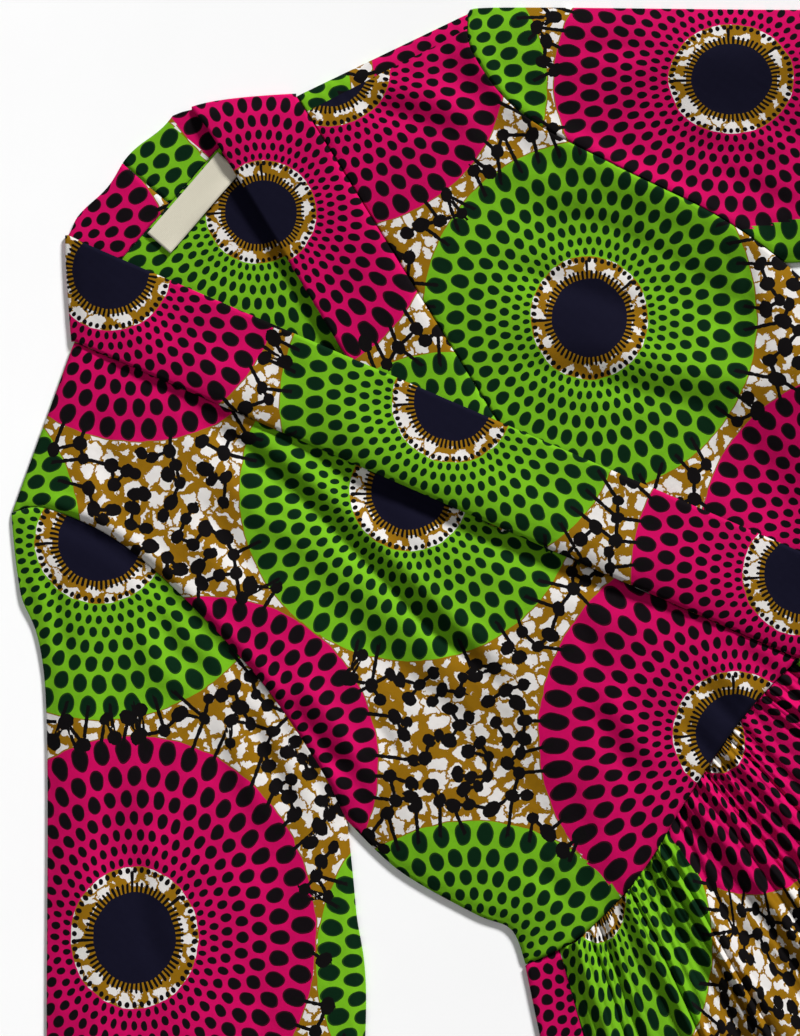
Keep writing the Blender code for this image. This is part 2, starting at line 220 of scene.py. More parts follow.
# Parts of the cloth's motif, as shares of its disc's radius
EYE = 0.226  # plain dark centre
COMB = 0.277  # where the teeth round the centre end
TEETH = 60
TOOTH_WIDE = 0.28  # half of a tooth, as a share of its place
LONG_TEETH = 0.09  # share of the teeth that reach the ring of small dots
BEADS = 0.333  # the ring of small dots
BEAD_COUNT = 54
BEAD_SIZE = 0.0125
FIELD = 0.352  # where the dyed field begins
SPOKES = 48  # dots in each ring of the field
DOT_ROWS = 7
DOT_WIDE = (0.29, 0.375)  # half of a dot, as a share of its place, inmost and outmost
DOT_TALL = (0.37, 0.46)
DOT_CORE = 0.86  # where the dot's paler edge begins
RIM = 1.006  # where the ochre line round a disc ends
DISC_PITCH = 2.04  # pitch of the discs' repeat
DISC_CLEAR = 1.86  # least distance between the middles of two discs

ROW_STEP = 0.87  # from one row of a repeat to the next, as a share of its pitch

# The ground between the discs, in millimetres
BLOTCH = 10.2  # breadth of a white blotch
BLOTCH_RAGGED = 7.5  # how far its edge wanders
BLOTCH_GAPS = (0.07, 0.29)  # ochre between the blotches, as shares of one: least, most
STEM_HALF = 1.1  # half the breadth of a stem
SEED_SIZES = ((3.0, 1.0, 0.0), (4.4, 1.4, math.pi))  # least and most: radius, length, turn
STREWN = 11  # seed of the chance that strews the ground
SEED_STRAY = 0.37  # how far a seed strays from its place in the repeat, in spacings of the seeds
SEED_CLEAR = 1.06  # how far strewn seeds keep from a disc's middle, in its radii
RIM_START = 0.96  # where a rim stem starts, in radii of its disc
RIM_TIP = (1.05, 1.17)  # and where it ends, least and most
RIM_LEAN = 0.05  # how far its tip leans aside
TIP_CLEAR = 0.95  # it is left out if its tip is nearer than this to another disc's middle
OWN_SEED = 0.62  # it gets a seed of its own if none is this near, in spacings of the seeds
RIM_CHANCE = 0.6  # and where one is, this is the chance that the stem is kept
RIM_STEMS = 2  # the most stems from discs' rims that meet in one seed
SECOND_CHANCE = 0.42  # chance of a second stem from a seed
SECOND_REACH = 1.4  # the most length of that one, in spacings of the seeds
WEB_START = 0.88  # the web is worked out from here outwards, in radii of a disc
WEB_REACH = 4.0  # how near a stem has to be, in mm, or a seed, in its radii
FAR_OFF = 9.0  # stands for a place with no stem or seed near it
BATCH = 1500  # faces whose place in the web is worked out at once

Disc = namedtuple("Disc", "x y dye size wide tall small_eye", defaults=(1.0, 1.0, 1.0, 0.0))
PINK_DYE, GREEN_DYE = 0.0, 1.0
# Where the discs fall on each piece, with their dye and their size against the common one. The
# cloth is drawn together in places: wide and tall say by how much, across and up the picture,
# and small_eye by how much more at the disc's middle.
DISCS = {
    "back": (Disc(31, -73, GREEN_DYE, 1.0, small_eye=0.22),),
    "front_right": (
        Disc(-41, -43, PINK_DYE),
        Disc(-35, -248, GREEN_DYE, 0.985),
        Disc(-233, -265, PINK_DYE, 0.98),
        Disc(-17, -485, PINK_DYE, 1.14, small_eye=0.16),
        Disc(-236, -473, GREEN_DYE, 1.05),
    ),
    "front_left": (
        Disc(111, -261, GREEN_DYE, 1.0, 0.97, 1.02),
        Disc(120, -50, PINK_DYE, 1.0, 1.03, 0.93),
        Disc(121, -472, PINK_DYE),
    ),
    "yoke_left": (Disc(48, 3, GREEN_DYE), Disc(217, -133, PINK_DYE)),
    "band_right": (
        Disc(-52, -31, PINK_DYE),
        Disc(21, -233, GREEN_DYE),
        Disc(79, -454, PINK_DYE),
    ),
    "band_left": (Disc(32, -77, PINK_DYE, 1.0, small_eye=0.22), Disc(-34, -279, GREEN_DYE)),
    "facing_right": (Disc(-99, 11, PINK_DYE),),
    "facing_left": (Disc(-65, -5, GREEN_DYE), Disc(137, -24, PINK_DYE)),
    "sleeve_right": (
        Disc(-176, -130, GREEN_DYE, 1.07, 1.0, 0.97),
        Disc(-338, -298, PINK_DYE, 1.17, 0.9),
        Disc(-208, -469, GREEN_DYE, 1.07),
    ),
    "sleeve_left": (
        Disc(271, -232, PINK_DYE, 1.03, 1.0, 0.88),
        Disc(132, -80, GREEN_DYE, 0.97),
        Disc(156, -386, GREEN_DYE, 1.08),
    ),
    "peplum_front": (
        Disc(-246, 25, GREEN_DYE, 1.19, small_eye=0.14),
        Disc(-45, 27, PINK_DYE, 1.14),
        Disc(155, 27, GREEN_DYE),
        Disc(-152, -262, PINK_DYE),
        Disc(53, -262, GREEN_DYE),
    ),
    "peplum_back": (Disc(-385, -42, PINK_DYE), Disc(-180, -150, GREEN_DYE)),
}

CURVE_PARTS = 12  # points on a smooth curve between two given ones
PICTURE_UP = (0.755, 0.656)  # plan direction that points up in the photograph


def linear(code):
    """An sRGB hex colour as linear red, green and blue."""
    shares = (int(code[k : k + 2], 16) / 255 for k in (1, 3, 5))
    return tuple(s / 12.92 if s <= 0.04045 else ((s + 0.055) / 1.055) ** 2.4 for s in shares)


class BlouseSizes(bpy.types.PropertyGroup):
    """Sizes of the cloth and its sewing that can change without moving a solid."""

    shell: bpy.props.FloatProperty(
        name="Cloth thickness", description="Thickness of one layer of cloth as it shows",
        default=0.0009, min=0.0003, max=0.0014, unit="LENGTH", precision=5)
    grid: bpy.props.FloatProperty(
        name="Grid", description="Spacing of the points that the folds are worked out at",
        default=0.0026, min=0.001, max=0.01, unit="LENGTH", precision=5)
    loft: bpy.props.FloatProperty(
        name="Loft", description="Height of the upper layers over the flat ones between folds",
        default=0.0036, min=0.001, max=0.008, unit="LENGTH", precision=5)
    fold_share: bpy.props.FloatProperty(
        name="Fold height", description="Height of the main folds against the solids'",
        default=1.3, min=0.5, max=2.0, subtype="FACTOR")
    crease_share: bpy.props.FloatProperty(
        name="Crease depth", description="Depth of the narrow creases",
        default=1.5, min=0.0, max=3.0, subtype="FACTOR")
    ditch: bpy.props.FloatProperty(
        name="Seam ditch", description="How far the cloth dips at a seam",
        default=0.0007, min=0.0, max=0.001, unit="LENGTH", precision=5)
    pucker: bpy.props.FloatProperty(
        name="Pucker", description="Height of the small waves beside a seam",
        default=0.00025, min=0.0, max=0.001, unit="LENGTH", precision=5)
    band_proud: bpy.props.FloatProperty(
        name="Band edge", description="How far the neck band stands over the front at its seam",
        default=0.0013, min=0.0, max=0.003, unit="LENGTH", precision=5)
    stitch: bpy.props.FloatProperty(
        name="Stitch", description="Length of one stitch of the hems",
        default=0.003, min=0.001, max=0.006, unit="LENGTH", precision=5)


class PrintSizes(bpy.types.PropertyGroup):
    """Sizes of the print and the weave."""

    disc: bpy.props.FloatProperty(
        name="Disc radius", description="Radius of a printed disc",
        default=0.101, min=0.05, max=0.2, unit="LENGTH")
    seed: bpy.props.FloatProperty(
        name="Seed spacing", description="Spacing of the seeds between the discs",
        default=0.0130, min=0.005, max=0.03, unit="LENGTH", precision=5)
    thread: bpy.props.FloatProperty(
        name="Thread spacing", description="Spacing of the threads as drawn",
        default=0.0009, min=0.0003, max=0.003, unit="LENGTH", precision=5)


def dye_colour(name, description, code):
    return bpy.props.FloatVectorProperty(
        name=name, description=description, subtype="COLOR", size=3, min=0, max=1,
        default=linear(code))


class PrintColours(bpy.types.PropertyGroup):
    """Dyes of the cloth, the label and the thread."""

    pink: dye_colour("Pink", "Field of the pink discs", "#C20557")
    green: dye_colour("Green", "Field of the green discs", "#6DAC1A")
    pink_dot: dye_colour("Dots on pink", "Dots of the pink discs", "#0E080C")
    green_dot: dye_colour("Dots on green", "Dots of the green discs", "#04220F")
    navy: dye_colour("Navy", "Plain centre of each disc", "#0F0E20")
    ochre: dye_colour("Ochre", "Blotches of the ground and the rings", "#8B630B")
    white: dye_colour("White", "Undyed cloth", "#DAD6D2")
    black: dye_colour("Black", "Seeds, stems and teeth", "#0C090A")
    label: dye_colour("Label", "Woven label", "#D6D0BC")
    thread: dye_colour("Thread", "Hem stitches", "#2A1A1E")
    floor: dye_colour("Floor", "Floor under the garment", "#FAFAFA")


def smooth(share):
    share = np.clip(share, 0.0, 1.0)
    return share * share * (3.0 - 2.0 * share)


def even(points, steps):
    """Points at even distances along a polyline, its ends included."""
    points = np.asarray(points, float)
    run = np.concatenate([[0.0], np.cumsum(np.linalg.norm(np.diff(points, axis=0), axis=1))])
    want = np.linspace(0.0, run[-1], steps + 1)
    return np.stack([np.interp(want, run, axis) for axis in points.T], axis=1)


def rounded(points, steps):
    """Even points along a smooth curve through the given ones."""
    points = np.asarray(points, float)
    ends = np.vstack([points[:1], points, points[-1:]])
    t = (np.arange(CURVE_PARTS) / CURVE_PARTS)[:, None]
    fine = [
        0.5 * (2 * q + (r - p) * t + (2 * p - 5 * q + 4 * r - s) * t**2
               + (3 * q - p - 3 * r + s) * t**3)
        for p, q, r, s in zip(ends, ends[1:], ends[2:], ends[3:])
    ]
    return even(np.vstack([*fine, points[-1:]]), steps)


def patch(bottom, top, left, right):
    """A grid of plan points, rows from bottom to top, that fills four edges."""
    s = np.linspace(0, 1, len(bottom))[None, :, None]
    t = np.linspace(0, 1, len(left))[:, None, None]
    across = left[:, None] * (1 - s) + right[:, None] * s
    along = bottom[None] * (1 - t) + top[None] * t
    corners = (bottom[0] * (1 - s) + bottom[-1] * s) * (1 - t)
    corners = corners + (top[0] * (1 - s) + top[-1] * s) * t
    return across + along - corners


def to_line(points, line):
    """How far each point lies from a polyline, how far along it, and on which side."""
    far = np.full(points.shape[:-1], np.inf)
    along = np.zeros(points.shape[:-1])
    left = np.ones(points.shape[:-1])
    run = 0.0
    for a, b in zip(line, line[1:]):
        a, b = np.asarray(a, float), np.asarray(b, float)
        leg = b - a
        size = float(np.hypot(*leg))
        share = np.clip(((points - a) @ leg) / size**2, 0, 1)
        off = np.linalg.norm(points - a - share[..., None] * leg, axis=-1)
        cross = leg[0] * (points[..., 1] - a[1]) - leg[1] * (points[..., 0] - a[0])
        near = off < far
        far = np.where(near, off, far)
        along = np.where(near, run + share * size, along)
        left = np.where(near, np.sign(cross), left)
        run += size
    return far, along / run, far * left


WAIST_LINE = rounded(WAIST, 80)


def waist(x0, x1, steps):
    x = np.linspace(x0, x1, steps + 1)
    return np.stack([x, np.interp(x, *WAIST_LINE.T)], axis=1)


def peplum_points(x, fall):
    """Plan points that lie a fall below the waist's places x, along the slant of the peplum."""
    slant = np.radians(PEPLUM_FLARE) * x / WAIST[-1][0]
    y = np.interp(x, *WAIST_LINE.T) - WAIST_SEAM
    return np.stack([x + np.sin(slant) * fall, y - np.cos(slant) * fall], axis=-1)


def v_edge(name):
    sign = SIDES[name].sign
    return np.array([(-sign * V_FOOT, waist(V_FOOT, V_FOOT, 0)[0][1]), SIDES[name].neck])


def band_seam(name):
    sign = SIDES[name].sign
    foot = (-sign * SEAM_FOOT, waist(SEAM_FOOT, SEAM_FOOT, 0)[0][1])
    return np.array([foot, SIDES[name].shoulder])


def outer_lines():
    """The folded and seamed edges that make the outline."""
    lines = []
    for side in SIDES.values():
        lines.append([side.neck, side.shoulder, side.tip])
        for edge in (side.side, side.sleeve_outer, side.sleeve_inner):
            lines.append(rounded(edge, 16))
        end = float(side.side[-1][0])
        lines.append(peplum_points(np.array([end, end]), np.array([0.0, PEPLUM])))
    return lines


OUTLINE = outer_lines()
ARMHOLES = {name: rounded(side.armhole, 40) for name, side in SIDES.items()}


def folds(points, table, share):
    """Rise of a table of folds, which fade towards their ends."""
    rise = np.zeros(points.shape[:-1])
    for fold in table:
        off, along, _ = to_line(points, fold.line)
        fade = smooth(3 * np.minimum(along, 1 - along))
        if table is FOLDS:
            fade = 0.45 + 0.55 * smooth(4 * np.minimum(along, 1 - along))
        rise += fold.rise * share * fade * np.exp(-((off / fold.width) ** 2))
    return rise


def roll(offset, shape):
    return shape.rise * np.exp(-(((offset - shape.middle) / shape.width) ** 2))


def band_pull(points):
    """How strongly the right band's seam is pulled up off the front, and how far off it lies."""
    _, along, off = to_line(points, band_seam("right"))
    # the pull starts above the waist, weakens past the bust and ends at the shoulder
    pull = smooth((along - 0.05) / 0.3) * smooth((0.99 - along) / 0.1)
    return pull * (0.35 + 0.65 * smooth((0.68 - along) / 0.16)), off


def rolls(points):
    """The rolled edges beside the seams: a ridge on one side of a seam, a hollow on the other."""
    pull, off = band_pull(points)
    rise = np.where(off > 0, pull * sum(roll(off, shape) for shape in BAND_ROLLS), 0.0)
    for name, side in SIDES.items():
        _, along, left = to_line(points, ARMHOLES[name])
        inward = -side.sign * left
        fade = smooth(along / 0.12) * smooth((1.02 - along) / 0.1)
        rise += fade * sum(roll(inward, shape) for shape in ARMHOLE_ROLLS[name])
        if name == "right":
            rise += smooth((along - 0.5) / 0.3) * roll(inward, UNDERARM_ROLL)
    return rise


def loft(points):
    """Height of an upper layer over the flat one, with its folds and creases."""
    sizes = bpy.context.scene.blouse_sizes
    near = np.min([to_line(points, line)[0] for line in OUTLINE], axis=0)
    rise = sizes.loft / MM + rolls(points)
    rise = rise + folds(points, FOLDS, sizes.fold_share)
    rise = rise + folds(points, CREASES, sizes.crease_share)
    low = LEAST_LOFT * np.exp(np.minimum(rise / LEAST_LOFT - 1, 0))
    soft = np.where(rise > LEAST_LOFT, rise, low)
    tuck = (TOP - CLOTH - sizes.shell / MM - 0.2) * (1 - smooth(near / TUCK))
    return soft * (0.4 * smooth(near / EDGE_ROUND) + 0.6 * smooth(near / EDGE_SLOPE)) - tuck


def sewing(points, seams):
    """The dip at a seam and the small uneven waves beside it."""
    sizes = bpy.context.scene.blouse_sizes
    rise = np.zeros(points.shape[:-1])
    for number, line in enumerate(seams):
        off, along, _ = to_line(points, line)
        length = float(np.linalg.norm(np.diff(np.asarray(line, float), axis=0), axis=1).sum())
        rise -= sizes.ditch / MM * np.exp(-((off / DITCH_WIDE) ** 2))
        run = along * length
        wave = np.sin(PUCKER_LENGTH * run + 1.3 * np.sin(0.11 * run + number))
        rise += sizes.pucker / MM * wave * np.exp(-off / PUCKER_REACH) * smooth(off / 3.0)
    return rise


def wrap_lift(points):
    """Rise of the right front where it crosses the left front and its band."""
    foot, neck = v_edge("left")
    leg = (neck - foot) / np.linalg.norm(neck - foot)
    past = (points[..., 0] - foot[0]) * leg[1] - (points[..., 1] - foot[1]) * leg[0]
    return LAYER * smooth((past + LIFT_START) / (LIFT_START - LIFT_END))


def steps_for(length):
    return max(2, round(length / (bpy.context.scene.blouse_sizes.grid / MM)))


def plan_shift():
    """From the plan's own origin to the frame's, taken from the label's solid."""
    low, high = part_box("label")
    return [(low[k] + high[k]) / 2 / MM - LABEL_CENTRE[k] for k in (0, 1)]


def spread_discs(table, low, high):
    """The placed discs, and more of the same repeat where the cloth has none yet."""
    radius = bpy.context.scene.print_sizes.disc / MM
    pitch = DISC_PITCH * radius
    discs = list(table)
    most = int(max(high - low) / pitch) + 3
    for i in range(-most, most + 1):
        for j in range(-most, most + 1):
            step = np.array([i + 0.5 * (j % 2), ROW_STEP * j])
            place = np.array(table[0][:2]) + pitch * step
            inside = (place > low - radius).all() and (place < high + radius).all()
            if inside and all(math.dist(place, disc[:2]) > DISC_CLEAR * radius for disc in discs):
                discs.append(Disc(*place, float((i + j) % 2)))
    return np.array(discs)


def in_disc(points, discs):
    """Where points lie in their discs, in radii, on axes that run across and up the picture."""
    off = points - discs[..., :2]
    right = off[..., 0] * PICTURE_UP[1] - off[..., 1] * PICTURE_UP[0]
    up = off[..., 0] * PICTURE_UP[0] + off[..., 1] * PICTURE_UP[1]
    within = np.stack([right / discs[..., 4], up / discs[..., 5]], axis=-1)
    within /= bpy.context.scene.print_sizes.disc / MM * discs[..., 3:4]
    inward = 1 - np.linalg.norm(within, axis=-1, keepdims=True)
    return within * (1 + discs[..., 6:] * np.clip(inward, 0, 1))


def reach(points, discs):
    """How far points lie from the middle of their nearest disc, in radii."""
    return np.linalg.norm(in_disc(points[:, None], discs[None]), axis=-1).min(axis=1)


def strewn_seeds(low, high, discs, gap, chance):
    """Seeds on a loose repeat over the ground, clear of the discs."""
    i, j = np.meshgrid(*(np.arange(int(size / gap / ROW_STEP) + 3) for size in high - low))
    seeds = np.stack([i + 0.5 * (j % 2), ROW_STEP * j], axis=-1).reshape(-1, 2) * gap + low - gap
    seeds = seeds + chance.uniform(-SEED_STRAY, SEED_STRAY, seeds.shape) * gap
    return [*seeds[reach(seeds, discs) > SEED_CLEAR]]


def rim_stems(low, high, discs, gap, chance, seeds):
    """Stems from the discs' rims to the seeds near them; where there is none, one is added."""
    radius = bpy.context.scene.print_sizes.disc / MM
    up = np.array(PICTURE_UP)
    right = np.array([up[1], -up[0]])
    stems = []
    met = Counter()
    for disc in discs:
        for angle in 2 * math.pi * (np.arange(SPOKES) + 0.5) / SPOKES:
            ray = math.cos(angle) * disc[4] * right + math.sin(angle) * disc[5] * up
            lean = np.array([-ray[1], ray[0]]) * chance.uniform(-RIM_LEAN, RIM_LEAN)
            tip = disc[:2] + radius * disc[3] * (ray * chance.uniform(*RIM_TIP) + lean)
            inside = (tip > low - gap).all() and (tip < high + gap).all()
            if not inside or reach(tip[None], discs)[0] < TIP_CLEAR:
                continue
            far = [math.dist(seed, tip) for seed in seeds]
            if min(far, default=gap) > OWN_SEED * gap:
                seeds.append(tip)
            elif chance.random() > RIM_CHANCE:
                continue
            near = min(range(len(seeds)), key=lambda k: math.dist(seeds[k], tip))
            met[near] += 1
            if met[near] <= RIM_STEMS:
                stems.append((disc[:2] + RIM_START * radius * disc[3] * ray, seeds[near]))
    return stems


def seed_links(seeds, discs, gap, chance):
    """Stems from each seed to the nearest, and by chance to the next, that cross no disc."""
    apart = np.linalg.norm(seeds[:, None] - seeds[None], axis=-1)
    joined = set()
    for number, row in enumerate(apart if len(seeds) > 2 else ()):
        first, second = np.argsort(row)[1:3]
        joined.add((min(number, first), max(number, first)))
        if chance.random() < SECOND_CHANCE and row[second] < SECOND_REACH * gap:
            joined.add((min(number, second), max(number, second)))
    links = sorted(joined)
    middles = np.array([(seeds[a] + seeds[b]) / 2 for a, b in links]).reshape(-1, 2)
    clear = reach(middles, discs) > 1.0
    return [(seeds[a], seeds[b]) for (a, b), free in zip(links, clear) if free]


def seed_web(low, high, discs):
    """Seeds strewn over the ground, and the stems that join them to each other and to the discs."""
    gap = bpy.context.scene.print_sizes.seed / MM
    chance = np.random.default_rng(STREWN)
    seeds = strewn_seeds(low, high, discs, gap, chance)
    stems = rim_stems(low, high, discs, gap, chance, seeds)
    seeds = np.array(seeds)
    stems += seed_links(seeds, discs, gap, chance)
    shapes = chance.uniform(*SEED_SIZES, (len(seeds), 3))
    return seeds, shapes, np.array(stems).reshape(-1, 2, 2)


def beside_stem(faces, middle, stems):
    """How far each face's corners lie beside the nearest stem, if one is near."""
    legs = stems[:, 1] - stems[:, 0]
    sizes = np.linalg.norm(legs, axis=1)
    off = middle[:, None] - stems[None, :, 0]
    share = np.clip((off * legs).sum(axis=-1) / sizes**2, 0, 1)
    far = np.linalg.norm(off - share[..., None] * legs, axis=-1)
    best = np.argmin(far, axis=1)
    lead = faces - stems[best, None, 0]
    leg = legs[best] / sizes[best, None]
    beside = lead[..., 1] * leg[:, None, 0] - lead[..., 0] * leg[:, None, 1]
    close = far[np.arange(len(faces)), best] < WEB_REACH
    return np.where(close[:, None], beside, FAR_OFF)


def in_seed(faces, middle, seeds, shapes):
    """Where each face's corners lie in the nearest seed, in its radii, if one is near."""
    far = np.linalg.norm(middle[:, None] - seeds[None], axis=-1) / shapes[:, 0]
    best = np.argmin(far, axis=1)
    lead = faces - seeds[best, None]
    size, length, turn = (shapes[best, k, None] for k in range(3))
    along = (lead[..., 0] * np.cos(turn) + lead[..., 1] * np.sin(turn)) / size / length
    across = (lead[..., 1] * np.cos(turn) - lead[..., 0] * np.sin(turn)) / size
    close = far[np.arange(len(faces)), best] < WEB_REACH
    return np.where(close[:, None, None], np.stack([along, across], axis=-1), FAR_OFF)


def web_maps(faces, middle, discs):
    """How far face corners lie from the nearest stem, and their place in the nearest seed."""
    stem = np.full(faces.shape[:2], FAR_OFF)
    seed = np.full(faces.shape, FAR_OFF)
    ground = np.flatnonzero(reach(middle, discs) > WEB_START)
    if len(ground) == 0:
        return stem, seed
    seeds, shapes, stems = seed_web(middle.min(axis=0), middle.max(axis=0), discs)
    if len(stems) == 0:
        return stem, seed
    for part in np.array_split(ground, len(ground) // BATCH + 1):
        stem[part] = beside_stem(faces[part], middle[part], stems)
        seed[part] = in_seed(faces[part], middle[part], seeds, shapes)
    return stem, seed


def print_maps(mesh, place, cut, tables, columns):
    """Gives the cloth its maps: its place in the cut, in the nearest disc and in the web of seeds."""
    corner = np.zeros(len(mesh.loops), np.int32)
    mesh.loops.foreach_get("vertex_index", corner)
    corner_cut = cut.reshape(-1, 2)[place[corner]]
    faces = corner_cut.reshape(-1, 4, 2)
    middle = faces.mean(axis=1)
    row = place[corner].reshape(-1, 4).min(axis=1) // columns
    discs = np.zeros((len(faces), len(Disc._fields)))
    stem = np.zeros(faces.shape[:2])
    seed = np.zeros(faces.shape)
    for first, name in tables:
        chosen = row >= first
        spread = spread_discs(DISCS[name], middle[chosen].min(axis=0), middle[chosen].max(axis=0))
        far = np.linalg.norm(in_disc(middle[chosen][:, None], spread[None]), axis=-1)
        discs[chosen] = spread[np.argmin(far, axis=1)]
        stem[chosen], seed[chosen] = web_maps(faces[chosen], middle[chosen], spread)
    maps = {"cut": corner_cut, "disc": in_disc(faces, discs[:, None]), "seed": seed}
    for name, values in maps.items():
        layer = mesh.uv_layers.new(name=name)
        layer.data.foreach_set("uv", values.astype(np.float32).ravel())
    dye = mesh.attributes.new("dye", "FLOAT", "CORNER")
    dye.data.foreach_set("value", np.repeat(discs[:, 2], 4).astype(np.float32))
    beside = mesh.attributes.new("stem", "FLOAT", "CORNER")
    beside.data.foreach_set("value", stem.astype(np.float32).ravel())


def lay_cloth(name, points, cut, tables, thickness, middle=0.0, closed=False):
    """One piece of cloth from a grid of points, thickened away from its outer face."""
    rows, columns = points.shape[:2]
    bm = bmesh.new()
    bmesh.ops.create_grid(bm, x_segments=columns - 1, y_segments=rows - 1, size=0.5)
    place = np.zeros(len(bm.verts), np.int32)
    shift = (*plan_shift(), 0.0)
    grid = (points + shift) * MM
    for vertex in bm.verts:
        j = round((vertex.co.x + 0.5) * (columns - 1))
        i = round((vertex.co.y + 0.5) * (rows - 1))
        place[vertex.index] = i * columns + j
        vertex.co = grid[i, j]
    bm.normal_update()
    # positive where the faces above the middle look up and those below it look down
    out = sum(
        face.calc_area() * face.normal.z * (face.calc_center_median().z / MM - middle)
        for face in bm.faces)
    mesh = bpy.data.meshes.new(name)
    bm.to_mesh(mesh)
    bm.free()
    if tables:
        print_maps(mesh, place, cut, tables, columns)
    bm = bmesh.new()
    bm.from_mesh(mesh)
    if out < 0:
        bmesh.ops.reverse_faces(bm, faces=bm.faces)
    if closed:
        bmesh.ops.remove_doubles(bm, verts=bm.verts, dist=0.01 * MM)
    bm.to_mesh(mesh)
    bm.free()
    mesh.shade_smooth()
    piece = bpy.data.objects.new(name, mesh)
    bpy.context.scene.collection.objects.link(piece)
    wall = piece.modifiers.new("Cloth wall", "SOLIDIFY")
    wall.thickness = thickness * MM
    wall.offset = -1.0
    wall.use_quality_normals = True
    return piece


def hold(piece, node, material):
    """Puts a piece in place of its solid, with its finish."""
    piece.data.materials.append(material)
    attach(piece, "root")
    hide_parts(node)


def add(tree, kind, *inputs, **settings):
    """Adds a node with its settings, and gives its inputs values, sockets or other nodes."""
    named = settings.pop("named", {})
    node = tree.nodes.new("ShaderNode" + kind)
    for name, value in settings.items():
        setattr(node, name, value)
    open_inputs = [socket for socket in node.inputs if socket.enabled]
    pairs = [*zip(open_inputs, inputs), *((node.inputs[name], v) for name, v in named.items())]
    for socket, value in pairs:
        if isinstance(value, bpy.types.Node):
            value = next(output for output in value.outputs if output.enabled)
        if isinstance(value, bpy.types.NodeSocket):
            tree.links.new(value, socket)
        else:
            socket.default_value = value
    return node


def new_material(name, roughness, specular, sheen):
    """A material whose shader has its plain values set on its own sockets."""
    material = bpy.data.materials.new(name)
    material.use_nodes = True
    tree = material.node_tree
    shader = tree.nodes["Principled BSDF"]
    shader.inputs["Roughness"].default_value = roughness
    shader.inputs["Specular IOR Level"].default_value = specular
    shader.inputs["Sheen Weight"].default_value = sheen
    shader.inputs["Sheen Roughness"].default_value = 0.5
    return material, tree, shader


def disc_place(tree, cut):
    """How far a point lies from its disc's middle, in radii, and its turn round it."""
    # the print wanders by a fraction of a millimetre, as a hand-cut edge does
    wander = add(
        tree, "TexNoise", named={"Vector": cut, "Scale": 0.09, "Detail": 1.0},
        noise_dimensions="2D")
    wander = add(tree, "VectorMath", wander.outputs["Color"], (0.5, 0.5, 0.5), operation="SUBTRACT")
    wander = add(tree, "VectorMath", wander, (0.016, 0.016, 0.0), operation="MULTIPLY")
    disc = add(tree, "UVMap", uv_map="disc")
    disc = add(tree, "VectorMath", disc, wander, operation="ADD")
    axes = add(tree, "SeparateXYZ", disc)
    turn = add(tree, "Math", axes.outputs[1], axes.outputs[0], operation="ARCTAN2")
    turn = add(tree, "Math", turn, 1 / (2 * math.pi), operation="MULTIPLY")
    return add(tree, "VectorMath", disc, operation="LENGTH"), turn


def blotched_ground(tree, colours, cut, radius):
    """Ochre ground with ragged rounded patches where the wax kept the cloth white."""
    ragged = add(
        tree, "TexNoise", named={"Vector": cut, "Scale": 0.2, "Detail": 4.0, "Roughness": 0.62},
        noise_dimensions="2D")
    ragged = add(tree, "VectorMath", ragged.outputs["Color"], (0.5, 0.5, 0.5), operation="SUBTRACT")
    wander = (BLOTCH_RAGGED, BLOTCH_RAGGED, 0.0)
    ragged = add(tree, "VectorMath", ragged, wander, operation="MULTIPLY")
    moved = add(tree, "VectorMath", cut, ragged, operation="ADD")
    patches = add(
        tree, "TexVoronoi", named={"Vector": moved, "Scale": 1 / BLOTCH}, voronoi_dimensions="2D",
        feature="DISTANCE_TO_EDGE")
    spread = add(
        tree, "TexNoise", named={"Vector": cut, "Scale": 0.055, "Detail": 1.0},
        noise_dimensions="2D")
    gap = add(tree, "MapRange", spread, 0.34, 0.66, *BLOTCH_GAPS)
    white = add(tree, "Math", patches.outputs["Distance"], gap, operation="GREATER_THAN")
    # the teeth round an eye stand on plain ochre
    beyond = add(tree, "Math", radius, 0.4 * EYE + 0.6 * COMB, operation="GREATER_THAN")
    white = add(tree, "Math", white, beyond, operation="MULTIPLY")
    return add(tree, "Mix", white, (*colours.ochre, 1), (*colours.white, 1), data_type="RGBA")


def dot_rings(tree, radius, turn):
    """Rings of dots that grow outwards, each set half a dot round from the last, as a mask."""
    grown = add(tree, "Math", radius, FIELD, operation="DIVIDE")
    ring = add(tree, "Math", grown, math.e, operation="LOGARITHM")
    ring = add(tree, "Math", ring, DOT_ROWS / math.log(1.0 / FIELD), operation="MULTIPLY")
    number = add(tree, "Math", ring, operation="FLOOR")
    odd = add(tree, "Math", number, 2.0, operation="FLOORED_MODULO")
    spokes = add(tree, "Math", turn, SPOKES, operation="MULTIPLY")
    around = add(tree, "Math", odd, 0.5, spokes, operation="MULTIPLY_ADD")
    around = add(tree, "Math", around, operation="FRACT")
    around = add(tree, "Math", around, 0.5, operation="SUBTRACT")
    outward = add(tree, "Math", ring, operation="FRACT")
    outward = add(tree, "Math", outward, 0.5, operation="SUBTRACT")
    wide = add(tree, "MapRange", radius, 0.37, 0.72, *DOT_WIDE)
    tall = add(tree, "MapRange", radius, 0.37, 0.85, *DOT_TALL)
    around = add(tree, "Math", around, wide, operation="DIVIDE")
    outward = add(tree, "Math", outward, tall, operation="DIVIDE")
    place = add(tree, "CombineXYZ", around, outward, 0.0)
    far = add(tree, "VectorMath", place, operation="LENGTH")
    core = add(tree, "Math", far, DOT_CORE, operation="LESS_THAN")
    whole = add(tree, "Math", far, 1.0, operation="LESS_THAN")
    edge = add(tree, "Math", whole, 0.93, operation="MULTIPLY")
    return add(tree, "Math", edge, core, operation="MAXIMUM")


